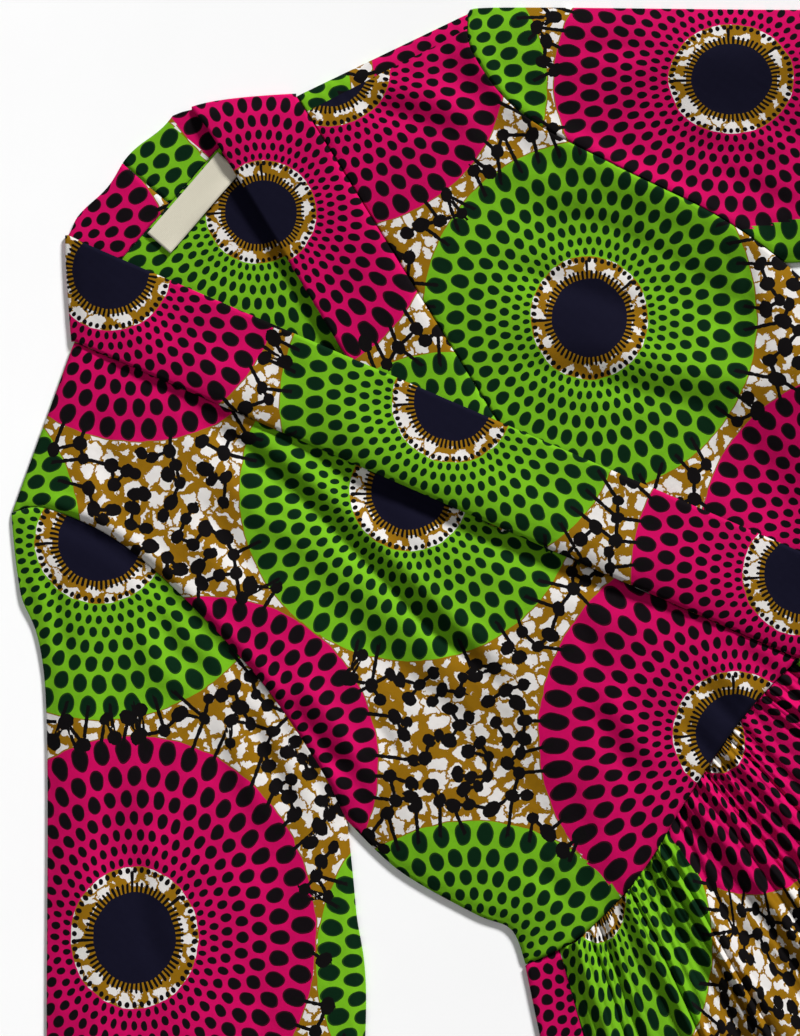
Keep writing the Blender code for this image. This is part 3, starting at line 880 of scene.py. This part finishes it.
def dotted_field(tree, colours, cut, radius, turn):
    """The dyed field of a disc, a little uneven, with its dark dots."""
    dye = add(tree, "Attribute", attribute_name="dye").outputs["Fac"]
    field = add(tree, "Mix", dye, (*colours.pink, 1), (*colours.green, 1), data_type="RGBA")
    dark = [(*colour, 1) for colour in (colours.pink_dot, colours.green_dot)]
    dark = add(tree, "Mix", dye, *dark, data_type="RGBA")
    worn = add(
        tree, "TexNoise", named={"Vector": cut, "Scale": 0.035, "Detail": 3.0},
        noise_dimensions="2D")
    worn = add(tree, "MapRange", worn, 0.3, 0.7, 0.92, 1.07)
    field = add(tree, "VectorMath", field, worn, operation="MULTIPLY")
    return add(tree, "Mix", dot_rings(tree, radius, turn), field, dark, data_type="RGBA")


def teeth(tree, radius, turn):
    """Tapered teeth round the eye, a few of them long, as a mask."""
    beat = add(tree, "Math", turn, TEETH, operation="MULTIPLY")
    aside = add(tree, "Math", beat, operation="FRACT")
    aside = add(tree, "Math", aside, 0.5, operation="SUBTRACT")
    aside = add(tree, "Math", aside, operation="ABSOLUTE")
    which = add(tree, "Math", beat, operation="FLOOR")
    chance = add(tree, "TexWhiteNoise", named={"W": which}, noise_dimensions="1D").outputs["Value"]
    longer = add(tree, "Math", chance, 1 - LONG_TEETH, operation="GREATER_THAN")
    end = add(tree, "Math", longer, BEADS - COMB, COMB, operation="MULTIPLY_ADD")
    end = add(tree, "Math", aside, -0.03, end, operation="MULTIPLY_ADD")
    within = add(tree, "Math", radius, end, operation="LESS_THAN")
    narrow = add(tree, "Math", aside, TOOTH_WIDE, operation="LESS_THAN")
    return add(tree, "Math", narrow, within, operation="MULTIPLY")


def beads(tree, radius, turn):
    """The ring of small dots outside the teeth, a little longer than wide, as a mask."""
    beat = add(tree, "Math", turn, BEAD_COUNT, operation="MULTIPLY")
    beat = add(tree, "Math", beat, operation="FRACT")
    beat = add(tree, "Math", beat, 0.5, operation="SUBTRACT")
    beat = add(tree, "Math", beat, 2 * math.pi * BEADS / BEAD_COUNT, operation="MULTIPLY")
    away = add(tree, "Math", radius, BEADS, operation="SUBTRACT")
    away = add(tree, "Math", away, 0.8, operation="MULTIPLY")
    place = add(tree, "CombineXYZ", beat, away, 0.0)
    far = add(tree, "VectorMath", place, operation="LENGTH")
    return add(tree, "Math", far, BEAD_SIZE, operation="LESS_THAN")


def seeds_and_stems(tree, cut):
    """Seeds joined by stems, with a slightly shaky edge, as a mask."""
    shaky = add(
        tree, "TexNoise", named={"Vector": cut, "Scale": 0.35, "Detail": 1.0},
        noise_dimensions="2D")
    shaky = add(tree, "Math", shaky, 0.5, operation="SUBTRACT")
    stem = add(tree, "Attribute", attribute_name="stem").outputs["Fac"]
    stem = add(tree, "Math", stem, operation="ABSOLUTE")
    stem = add(tree, "Math", shaky, 0.9, stem, operation="MULTIPLY_ADD")
    stem = add(tree, "Math", stem, STEM_HALF, operation="LESS_THAN")
    seed = add(tree, "UVMap", uv_map="seed")
    seed = add(tree, "VectorMath", seed, operation="LENGTH")
    seed = add(tree, "Math", shaky, 0.28, seed, operation="MULTIPLY_ADD")
    seed = add(tree, "Math", seed, 1.0, operation="LESS_THAN")
    return add(tree, "Math", stem, seed, operation="MAXIMUM")


def wax_print(colours, sizes):
    """Wax-print cotton: a matte plain weave, dyed through from both faces with a wax resist.

    The resist gives hard, slightly wandering edges. Discs with a plain navy eye, a toothed ring
    and rings of dots that grow outwards lie on an ochre ground with white blotches, under seeds
    joined by stems. The threads are drawn three times coarser than real, so that they just show.
    """
    material, tree, shader = new_material("wax_print_cotton_plain_weave", 0.85, 0.06, 0.01)
    cut = add(tree, "UVMap", uv_map="cut")
    radius, turn = disc_place(tree, cut)
    ground = blotched_ground(tree, colours, cut, radius)

    # a disc from its middle out: the eye, the ring round it, the dotted field, an ochre line
    marks = add(
        tree, "Math", teeth(tree, radius, turn), beads(tree, radius, turn), operation="MAXIMUM")
    ring = add(tree, "Mix", marks, ground, (*colours.black, 1), data_type="RGBA")
    in_eye = add(tree, "Math", radius, EYE, operation="LESS_THAN")
    ring = add(tree, "Mix", in_eye, ring, (*colours.navy, 1), data_type="RGBA")
    in_ring = add(tree, "Math", radius, FIELD, operation="LESS_THAN")
    field = dotted_field(tree, colours, cut, radius, turn)
    disc = add(tree, "Mix", in_ring, field, ring, data_type="RGBA")
    in_rim = add(tree, "Math", radius, RIM, operation="LESS_THAN")
    ground = add(tree, "Mix", in_rim, ground, (*colours.ochre, 1), data_type="RGBA")
    in_field = add(tree, "Math", radius, 1.0, operation="LESS_THAN")
    colour = add(tree, "Mix", in_field, ground, disc, data_type="RGBA")
    web = seeds_and_stems(tree, cut)
    colour = add(tree, "Mix", web, colour, (*colours.black, 1), data_type="RGBA")

    # warp and weft, and the faint unevenness of washed cotton
    pitch = sizes.thread / MM
    threads = add(tree, "VectorMath", cut, (2 * math.pi / pitch,) * 3, operation="MULTIPLY")
    threads = add(tree, "SeparateXYZ", threads)
    warp = add(tree, "Math", threads.outputs[0], operation="SINE")
    weft = add(tree, "Math", threads.outputs[1], operation="SINE")
    weave = add(tree, "Math", warp, weft, operation="MULTIPLY")
    shade = add(tree, "Math", weave, 0.06, 1.0, operation="MULTIPLY_ADD")
    colour = add(tree, "VectorMath", colour, shade, operation="MULTIPLY")
    tree.links.new(colour.outputs[0], shader.inputs["Base Color"])
    uneven = add(
        tree, "TexNoise", named={"Vector": cut, "Scale": 0.06, "Detail": 4.0},
        noise_dimensions="2D")
    height = add(tree, "Math", weave, 0.10, uneven, operation="MULTIPLY_ADD")
    bump = add(tree, "Bump", named={"Height": height, "Strength": 0.5, "Distance": 1.2 * MM})
    tree.links.new(bump.outputs[0], shader.inputs["Normal"])
    return material


def label_tape(colours):
    """Cream polyester tape, woven with a fine rib that gives it a soft gloss."""
    material, tree, shader = new_material("woven_polyester_tape", 0.45, 0.4, 0.2)
    place = add(tree, "TexCoord").outputs["Object"]
    rib = 0.8 * MM
    ribs = add(
        tree, "TexWave",
        named={"Vector": place, "Scale": 2 * math.pi / (20 * rib), "Distortion": 0.4},
        bands_direction="Y")
    shade = add(tree, "MapRange", ribs.outputs["Fac"], 0.0, 1.0, 0.9, 1.0)
    colour = add(tree, "VectorMath", (*colours.label,), shade, operation="MULTIPLY")
    tree.links.new(colour.outputs[0], shader.inputs["Base Color"])
    height = ribs.outputs["Fac"]
    bump = add(tree, "Bump", named={"Height": height, "Strength": 0.3, "Distance": 0.2 * MM})
    tree.links.new(bump.outputs[0], shader.inputs["Normal"])
    return material


def sewing_thread(colours):
    """Spun polyester thread: dark, with a faint gloss."""
    material, _, shader = new_material("spun_polyester_thread", 0.55, 0.25, 0.1)
    shader.inputs["Base Color"].default_value = (*colours.thread, 1)
    return material


def painted_board(colours):
    """White matte paint, rolled on board, with a faint mottle."""
    material, tree, shader = new_material("painted_board", 0.9, 0.2, 0.0)
    place = add(tree, "TexCoord").outputs["Object"]
    mottle = add(tree, "TexNoise", named={"Vector": place, "Scale": 12.0, "Detail": 3.0})
    shade = add(tree, "MapRange", mottle, 0.3, 0.7, 0.985, 1.0)
    tinted = add(tree, "VectorMath", (*colours.floor,), shade, operation="MULTIPLY")
    tree.links.new(tinted.outputs[0], shader.inputs["Base Color"])
    return material


def cotton():
    found = bpy.data.materials.get("wax_print_cotton_plain_weave")
    return found or wax_print(bpy.context.scene.print_colours, bpy.context.scene.print_sizes)


def outer_side(side):
    """A side's edge from the waist up to the shoulder tip."""
    seam = rounded(side.side, steps_for(138))[::-1]
    return np.vstack([seam, rounded(side.armhole, steps_for(290))[::-1][1:]])


def area_of(points):
    """Area of a grid of plan points in square metres."""
    a = points[1:, 1:] - points[:-1, :-1]
    b = points[1:, :-1] - points[:-1, 1:]
    return float(np.abs(a[..., 0] * b[..., 1] - a[..., 1] * b[..., 0]).sum() / 2) * MM * MM


def with_height(plan, height):
    return np.concatenate([plan, height[..., None]], axis=-1)


class CutBack(bpy.types.Operator):
    """Lay the back panel flat on the surface"""

    bl_idname = "blouse.back"
    bl_label = "Back panel"

    def execute(self, context):
        right, left = SIDES["right"], SIDES["left"]
        seam = [(-BACK_SEAM_END, BAND_BACK), (BACK_SEAM_END, BAND_BACK)]
        neck = [right.shoulder, *seam, left.shoulder]
        shoulder = steps_for(106)
        top = np.vstack([
            even([right.tip, right.shoulder], shoulder),
            even(neck, steps_for(198))[1:],
            even([left.shoulder, left.tip], shoulder)[1:],
        ])
        bottom = waist(right.side[-1][0], left.side[-1][0], len(top) - 1)
        plan = patch(bottom, top, outer_side(right), outer_side(left))
        # inside the neck the cloth lifts a little off the surface
        off = to_line(plan, [(10, -75), (2, -150)])[0]
        wave = 1.0 + 0.5 * np.sin(plan[..., 0] * 0.09 + plan[..., 1] * 0.05)
        neck_line = to_line(plan, neck)[0]
        height = CLOTH + 0.5 * wave * np.exp(-((off / 38) ** 2)) * smooth(neck_line / 14)
        piece = lay_cloth("back_cloth", with_height(plan, height), plan, [(0, "back")], CLOTH)
        hold(piece, "back", cotton())
        return {"FINISHED"}


class CutFronts(bpy.types.Operator):
    """Lay the two fronts on the back, the right one over the left"""

    bl_idname = "blouse.fronts"
    bl_label = "Crossed fronts"

    seam_forward = 10.0  # from the left shoulder's edge to its seam

    def execute(self, context):
        for name, side in SIDES.items():
            outer = outer_side(side)
            seam = even(band_seam(name), len(outer) - 1)
            across = steps_for(235)
            top = even([side.tip, side.shoulder], across)
            bottom = waist(side.side[-1][0], -side.sign * SEAM_FOOT, across)
            plan = patch(bottom, top, outer, seam)
            seams = [band_seam(name), ARMHOLES[name], WAIST_LINE]
            tables = [(0, f"front_{name}")]
            if name == "left":
                # the shoulder seam is set forward, so a strip of the back shows before the edge
                forward = round(self.seam_forward / (context.scene.blouse_sizes.grid / MM))
                strip = len(plan) - 1 - forward
                tables.append((strip, "yoke_left"))
                seams.append(plan[strip, ::8])
            height = TOP + loft(plan) + sewing(plan, seams)
            if name == "right":
                height = height + wrap_lift(plan)
            piece = lay_cloth(
                f"front_{name}_cloth", with_height(plan, height), plan, tables,
                context.scene.blouse_sizes.shell / MM)
            hold(piece, f"front_{name}", cotton())
        return {"FINISHED"}


class FoldBand(bpy.types.Operator):
    """Fold the neck band's halves over the shoulders, down to the waist"""

    bl_idname = "blouse.neck_band"
    bl_label = "Neck band"

    across = 24  # columns from the free edge to the seam
    full = 0.25  # how much the doubled cloth swells between its edges
    pulled = 2.6  # how far the right half's seam is pulled up
    roll_down = 1.1  # how far the edge rolls down into its seam
    chest = -60.0  # the band lies close to the cloth behind this height
    round_off = {"left": 5.0, "right": 1.5}  # rounding of the fold's corner at the neck
    edge_wave = 1.4

    def execute(self, context):
        for name, side in SIDES.items():
            piece, area = self.half(context, name, side)
            hold(piece, f"neck_band_{name}", cotton())
        return {"FINISHED"}

    def half(self, context, name, side):
        """The front and the part behind the neck, joined by a rounded fold at the shoulder."""
        steps = steps_for(498)
        foot, shoulder = band_seam(name)
        inset = np.array([SEAM * side.sign, 0.0])
        seam = even([foot - inset, shoulder - inset + (0, SEAM)], steps)
        free = even(v_edge(name), steps)
        share = np.linspace(0, 1, self.across + 1)
        plan = free[:, None] * (1 - share)[:, None] + seam[:, None] * share[:, None]
        front = with_height(plan, self.height(context, name, plan, share))
        out = np.array([side.sign * 0.7, 0.7])
        fold = front[-1]
        arcs = []
        for angle in np.radians((60, 30, 0, -30, -60)):
            radius = fold[:, 2] / 2
            arc = fold.copy()
            arc[:, :2] += out * (radius * math.cos(angle))[:, None]
            arc[:, 2] = radius * (1 + math.sin(angle))
            arcs.append(arc)
        flat = self.behind(side, fold[:, :2])
        behind = with_height(flat, np.zeros(flat.shape[:2]))
        points = np.concatenate([front, np.array(arcs), behind])
        self.soften(name, points, (len(front), len(arcs), len(behind)), share, out)
        piece = lay_cloth(
            f"neck_band_{name}_cloth", points, points[..., :2],
            [(0, f"band_{name}"), (len(front) + 2, f"facing_{name}")], BAND_CLOTH, middle=2.0)
        return piece, area_of(plan) + area_of(flat)

    def height(self, context, name, plan, share):
        sizes = context.scene.blouse_sizes
        on_chest = smooth((self.chest - plan[..., 1]) / 60)
        over_back = (BAND_CLOTH - CLOTH + 0.3) * smooth((plan[..., 1] + 110) / 60)
        height = CLOTH + LAID + BAND_CLOTH + loft(plan) + over_back
        if name == "right":
            height = height + wrap_lift(plan)
            height = height + self.pulled * band_pull(plan)[0] * smooth((share - 0.4) / 0.45)
        # the doubled cloth is full between its edges and stands over the front at the seam
        height = height + self.full * (1 - (2 * share - 1) ** 6)
        height = height + sizes.band_proud / MM * smooth((share - 0.3) / 0.5) * on_chest
        height = height - self.roll_down * smooth((share - 0.9) / 0.1) * on_chest
        return height + sewing(plan, [WAIST_LINE])

    def behind(self, side, fold):
        """Plan of the part behind the neck, from the fold round to the centre seam."""
        lower = BAND_BACK + SEAM
        ends = ((BACK_SEAM_END, BAND_TOP - 1), (SEAM / 2, BAND_TOP))
        turn, centre = (
            even([(side.sign * x, top), (side.sign * x, lower)], self.across) for x, top in ends)
        rows = [fold * (1 - k) + turn * k for k in np.linspace(0, 1, steps_for(50))]
        rows += [turn * (1 - k) + centre * k for k in np.linspace(0, 1, steps_for(42))[1:]]
        return np.array(rows)

    def soften(self, name, points, rows, share, out):
        """Rounds the fold off at the neck edge, and waves that edge a little behind it."""
        before, folded, after = rows
        near = np.concatenate([
            np.exp(-0.26 * np.arange(before))[::-1],
            np.ones(folded),
            np.linspace(1, 0, after),
        ])
        drawn = self.round_off[name] * near[:, None] * np.exp(-3.2 * share)
        points[..., :2] -= out * drawn[..., None]
        edge = points[-after:]
        wave = self.edge_wave * np.sin(0.13 * edge[..., 0] + 0.5) * (1 - share)
        edge[..., 1] += wave * smooth(np.arange(after) / 15)[:, None]


class SetSleeves(bpy.types.Operator):
    """Lay the sleeves flat from the armholes to the open cuffs"""

    bl_idname = "blouse.sleeves"
    bl_label = "Sleeves"

    def execute(self, context):
        for name, side in SIDES.items():
            armhole = rounded(side.armhole, steps_for(240))
            ahead = np.gradient(armhole, axis=0)
            ahead /= np.linalg.norm(ahead, axis=1)[:, None]
            armhole = armhole + np.stack([-ahead[:, 1], ahead[:, 0]], axis=1) * SEAM * side.sign
            along = steps_for(500)
            outer = rounded(side.sleeve_outer, along)
            inner = rounded(side.sleeve_inner, along)
            outer[0], inner[0] = armhole[0], armhole[-1]
            cuff = even([outer[-1], inner[-1]], len(armhole) - 1)
            plan = patch(armhole, cuff, outer, inner)
            height = TOP + loft(plan) + sewing(plan, [ARMHOLES[name]])
            upper = with_height(plan, height)
            lower = with_height(plan, np.zeros_like(height))
            rings = [lower[:, ::-1]]
            rings.append(self.turned(upper[:, :1], upper[:, 1:2], (-50, 0, 50)))
            rings.append(upper)
            rings.append(self.turned(upper[:, -1:], upper[:, -2:-1], (50, 0, -50)))
            rings.append(lower[:, -1:])
            points = np.concatenate(rings, axis=1)
            piece = lay_cloth(
                f"sleeve_{name}_cloth", points, points[..., :2], [(0, f"sleeve_{name}")],
                context.scene.blouse_sizes.shell / MM, middle=CLOTH, closed=True)
            hold(piece, f"sleeve_{name}", cotton())
        return {"FINISHED"}

    def turned(self, edge, within, angles):
        """Points round a folded edge, from the upper wall to the lower."""
        out = edge[..., :2] - within[..., :2]
        out = out / np.linalg.norm(out, axis=-1, keepdims=True)
        columns = []
        for angle in np.radians(angles):
            radius = edge[..., 2] / 2
            column = edge.copy()
            column[..., :2] += out * (radius * math.cos(angle) * 0.8)[..., None]
            column[..., 2] = radius * (1 + math.sin(angle))
            columns.append(column)
        return np.concatenate(columns, axis=1)


def gathered(x, fall):
    """Height of the gathered folds below the waist, coarse ones with finer ones near the seam."""
    span = WAIST[-1][0] - SEAM_IN
    turn = GATHERS * (x + span) / (2 * span)
    # uneven spacing, and a wander down the fall
    turn = turn + 0.35 * np.sin(0.9 * turn) + 0.2 * np.sin(2.3 * turn)
    turn = turn + 0.16 * np.sin(0.031 * fall + 1.9 * turn) * smooth(fall / 40)
    size = 0.66 + 0.34 * np.sin(1.7 * np.floor(turn) + 0.6)
    crest = GATHER_WAIST + (GATHER_HEM - GATHER_WAIST) * fall / PEPLUM
    # every few gathers one falls into a deeper pleat
    pleat = np.sin(math.pi * turn / PLEAT_GATHERS + 0.5 * np.sin(0.5 * turn))
    pleat = np.abs(pleat) ** 0.8 - 0.5
    # round crests with sharp valleys between them, which soften down the fall
    sharp = np.abs(np.sin(math.pi * turn)) ** (0.6 + 0.9 * smooth(fall / 190))
    fine = np.abs(np.sin(2.37 * math.pi * turn + 0.9 * np.sin(fall * 0.03))) ** 0.7
    rise = crest * size * sharp + FINE_GATHER * np.exp(-fall / FINE_FADE) * fine + PLEAT * pleat
    return np.maximum(rise, 0.15 * sharp)


def peplum_rise(x, fall):
    """The gathers, which flatten towards the side seams."""
    return gathered(x, fall) * smooth((WAIST[-1][0] - SEAM_IN - np.abs(x)) / SIDE_FADE)


class GatherPeplum(bpy.types.Operator):
    """Gather the peplum's front and back to the waist"""

    bl_idname = "blouse.peplum"
    bl_label = "Gathered peplum"

    def execute(self, context):
        self.front(context)
        self.back(context)
        return {"FINISHED"}

    def front(self, context):
        span = WAIST[-1][0] - SEAM_IN
        x, fall = np.meshgrid(np.linspace(-span, span, GATHERS * 14 + 1), np.linspace(0, PEPLUM, 73))
        plan = peplum_points(x, fall)
        height = TOP + peplum_rise(x, fall) - 0.5 * np.exp(-((fall / 2.5) ** 2))
        cut = np.stack([x / span * CUT_HALF, -fall], axis=-1)
        piece = lay_cloth(
            "peplum_front_cloth", with_height(plan, height), cut, [(0, "peplum_front")],
            context.scene.blouse_sizes.shell / MM)
        hold(piece, "peplum_front", cotton())

    def back(self, context):
        """The back lies flat and its side edges come round onto the face."""
        end = float(WAIST[-1][0])
        strip = np.linspace(end - SEAM_IN + SEAM, end, 9)
        flat = np.linspace(-end + 1.0, end - 1.0, 90)
        turn = np.full(2, end + 0.9)  # the side edge, which is folded
        top = TOP - 0.2
        face, rise = np.full(len(strip), top), np.array([0.3, 0.7]) * top
        x = np.concatenate([-strip, -turn, flat, turn, strip[::-1]])
        z = np.concatenate([face, rise[::-1], np.zeros(len(flat)), rise, face])
        width = np.concatenate([[0.0], np.cumsum(np.hypot(np.diff(x), np.diff(z)))])
        u = (width / width[-1] - 0.5) * 2 * BACK_CUT_HALF
        x, fall = np.meshgrid(x, np.linspace(0, PEPLUM, 61))
        plan = peplum_points(x, fall)
        points = with_height(plan, np.broadcast_to(z, x.shape))
        cut = np.stack([np.broadcast_to(u, x.shape), -fall], axis=-1)
        piece = lay_cloth(
            "peplum_back_cloth", points, cut, [(0, "peplum_back")],
            context.scene.blouse_sizes.shell / MM, middle=CLOTH)
        hold(piece, "peplum_back", cotton())


class SewLabel(bpy.types.Operator):
    """Lay the blank label inside the back neck"""

    bl_idname = "blouse.label"
    bl_label = "Label"

    thick = 0.5
    stands = 1.5  # over the back
    lift = 0.9  # of its free edge

    def execute(self, context):
        half_x, half_y = (size / 2 for size in LABEL_SIZE)
        u, v = np.meshgrid(np.linspace(-half_x, half_x, 43), np.linspace(-half_y, half_y, 13))
        plan = np.stack([u + LABEL_CENTRE[0], v + LABEL_CENTRE[1]], axis=-1)
        # its free lower edge waves, and its left end stands a little higher
        wave = self.lift * smooth(-v / half_y) * (1 + np.sin(u * 0.11 + 0.6))
        height = CLOTH + LAID + self.stands + wave + 0.5 * smooth(u / half_x)
        piece = lay_cloth("label_tape", with_height(plan, height), plan, (), self.thick)
        hold(piece, "label", label_tape(context.scene.print_colours))
        return {"FINISHED"}


class SewHems(bpy.types.Operator):
    """Stitch the hems of the sleeves and of the peplum"""

    bl_idname = "blouse.hems"
    bl_label = "Hem stitches"

    cuff_rows = 7  # rows of the sleeve's grid between its end and the stitches
    peplum_hem = 12.0  # from the peplum's lower edge to its stitches
    thick = (0.62, 0.24, 0.2)  # half sizes of a stitch, the first as a share of half its length

    def execute(self, context):
        thread = sewing_thread(context.scene.print_colours)
        for name, side in SIDES.items():
            ends = [
                rounded(edge, steps_for(500))[-1 - self.cuff_rows]
                for edge in (side.sleeve_outer, side.sleeve_inner)
            ]
            line = even(ends, 60)[1:-1]
            height = TOP + loft(line)
            self.row(context, f"cuff_{name}_stitches", with_height(line, height), thread)
        span = WAIST[-1][0] - SEAM_IN
        x = np.linspace(-span + 4, span - 4, 700)
        fall = np.full_like(x, PEPLUM - self.peplum_hem)
        line = with_height(peplum_points(x, fall), TOP + peplum_rise(x, fall))
        self.row(context, "peplum_hem_stitches", line, thread)
        return {"FINISHED"}

    def row(self, context, name, line, thread):
        """Small rounded stitches, end to end with gaps, that lie along a line on the cloth."""
        pitch = context.scene.blouse_sizes.stitch / MM
        length = float(np.linalg.norm(np.diff(line, axis=0), axis=1).sum())
        places = even(line, round(length / pitch)) + (*plan_shift(), 0.0)
        share, half_wide, half_high = self.thick
        bm = bmesh.new()
        for start, end in zip(places, places[1:]):
            way = Vector(end - start)
            size = Matrix.Diagonal((way.length / 2 * share, half_wide, half_high, 1.0)) * MM
            size[3][3] = 1.0
            turn = way.to_track_quat("X", "Z").to_matrix().to_4x4()
            middle = Matrix.Translation(Vector((start + end) / 2 * MM))
            bmesh.ops.create_icosphere(bm, subdivisions=1, radius=1.0, matrix=middle @ turn @ size)
        mesh = bpy.data.meshes.new(name)
        bm.to_mesh(mesh)
        bm.free()
        mesh.shade_smooth()
        mesh.materials.append(thread)
        piece = bpy.data.objects.new(name, mesh)
        context.scene.collection.objects.link(piece)
        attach(piece, "root")


class SetStage(bpy.types.Operator):
    """Set the pale floor, the soft lights and the camera over the garment"""

    bl_idname = "blouse.stage"
    bl_label = "Studio"

    photo_scale = 1.70  # pixels of the photograph to the millimetre
    photo_size = (800, 1036)
    photo_middle = (-50.4, -254.2)  # plan place at the photograph's middle
    camera_height = 1.7  # metres
    sensor = 36.0  # millimetres
    ambient = 0.12  # strength of the even light from all round
    light_distance = 1.5

    def execute(self, context):
        scene = context.scene
        shift = plan_shift()
        middle = Vector([(self.photo_middle[k] + shift[k]) * MM for k in (0, 1)] + [0.0])
        up = Vector((*PICTURE_UP, 0.0)).normalized()
        right = up.cross(Vector((0, 0, 1)))
        self.floor(scene)
        self.lights(scene, middle, up, right)
        data = bpy.data.cameras.new("camera")
        data.sensor_width = self.sensor
        data.lens = self.camera_height * self.sensor / (self.photo_size[1] / self.photo_scale * MM)
        camera = bpy.data.objects.new("camera", data)
        scene.collection.objects.link(camera)
        turn = Matrix((right, up, Vector((0, 0, 1)))).transposed()
        above = middle + Vector((0, 0, self.camera_height))
        camera.matrix_world = Matrix.Translation(above) @ turn.to_4x4()
        scene.camera = camera
        return {"FINISHED"}

    def floor(self, scene):
        """A pale floor just below the surface that the cloth lies on."""
        bm = bmesh.new()
        bmesh.ops.create_grid(bm, x_segments=2, y_segments=2, size=4.0)
        bmesh.ops.translate(bm, verts=bm.verts, vec=(0, 0, -0.0003))
        mesh = bpy.data.meshes.new("studio_floor")
        bm.to_mesh(mesh)
        bm.free()
        mesh.materials.append(painted_board(scene.print_colours))
        floor = bpy.data.objects.new("studio_floor", mesh)
        scene.collection.objects.link(floor)

    def lights(self, scene, middle, up, right):
        """An even ambient light, a soft key from the picture's top right and a weak fill."""
        world = bpy.data.worlds.new("studio")
        scene.world = world
        world.use_nodes = True
        background = world.node_tree.nodes["Background"]
        background.inputs["Color"].default_value = (1, 1, 1, 1)
        background.inputs["Strength"].default_value = self.ambient
        sky = Vector((0, 0, 1))
        # name, kind, direction from the garment, strength, and breadth: an angle or a size
        table = (
            ("key", "SUN", up * 0.70 + right * 0.46 + sky * 0.48, 4.6, math.radians(12)),
            ("fill", "AREA", up * 0.1 - right * 0.8 + sky * 1.1, 5.0, 1.2),
        )
        for name, kind, direction, strength, breadth in table:
            data = bpy.data.lights.new(name, kind)
            setattr(data, "angle" if kind == "SUN" else "size", breadth)
            data.energy = strength
            light = bpy.data.objects.new(name, data)
            scene.collection.objects.link(light)
            light.location = middle + direction.normalized() * self.light_distance
            light.rotation_euler = direction.to_track_quat("Z", "Y").to_euler()
        scene.view_settings.view_transform = "Standard"


OPERATORS = (CutBack, CutFronts, FoldBand, SetSleeves, GatherPeplum, SewLabel, SewHems, SetStage)


class BlousePanel(bpy.types.Panel):
    """Lists the blouse's pieces, sizes and dyes"""

    bl_idname = "BLOUSE_PT_pieces"
    bl_label = "Wrap blouse"
    bl_space_type = "VIEW_3D"
    bl_region_type = "UI"
    bl_category = "Blouse"

    def draw(self, context):
        for place, group in GROUPS.items():
            box = self.layout.box()
            for name in group.__annotations__:
                box.prop(getattr(context.scene, place), name)
        for operator in OPERATORS:
            self.layout.operator(operator.bl_idname)


GROUPS = {"blouse_sizes": BlouseSizes, "print_sizes": PrintSizes, "print_colours": PrintColours}


def register():
    for made in (*GROUPS.values(), *OPERATORS, BlousePanel):
        bpy.utils.register_class(made)
    for name, group in GROUPS.items():
        setattr(bpy.types.Scene, name, bpy.props.PointerProperty(type=group))


def unregister():
    for name in GROUPS:
        delattr(bpy.types.Scene, name)
    for made in reversed((*GROUPS.values(), *OPERATORS, BlousePanel)):
        bpy.utils.unregister_class(made)


def main():
    register()
    bpy.ops.blouse.back()
    bpy.ops.blouse.fronts()
    bpy.ops.blouse.neck_band()
    bpy.ops.blouse.sleeves()
    bpy.ops.blouse.peplum()
    bpy.ops.blouse.label()
    bpy.ops.blouse.hems()
    bpy.ops.blouse.stage()


if __name__ == "__main__":
    main()
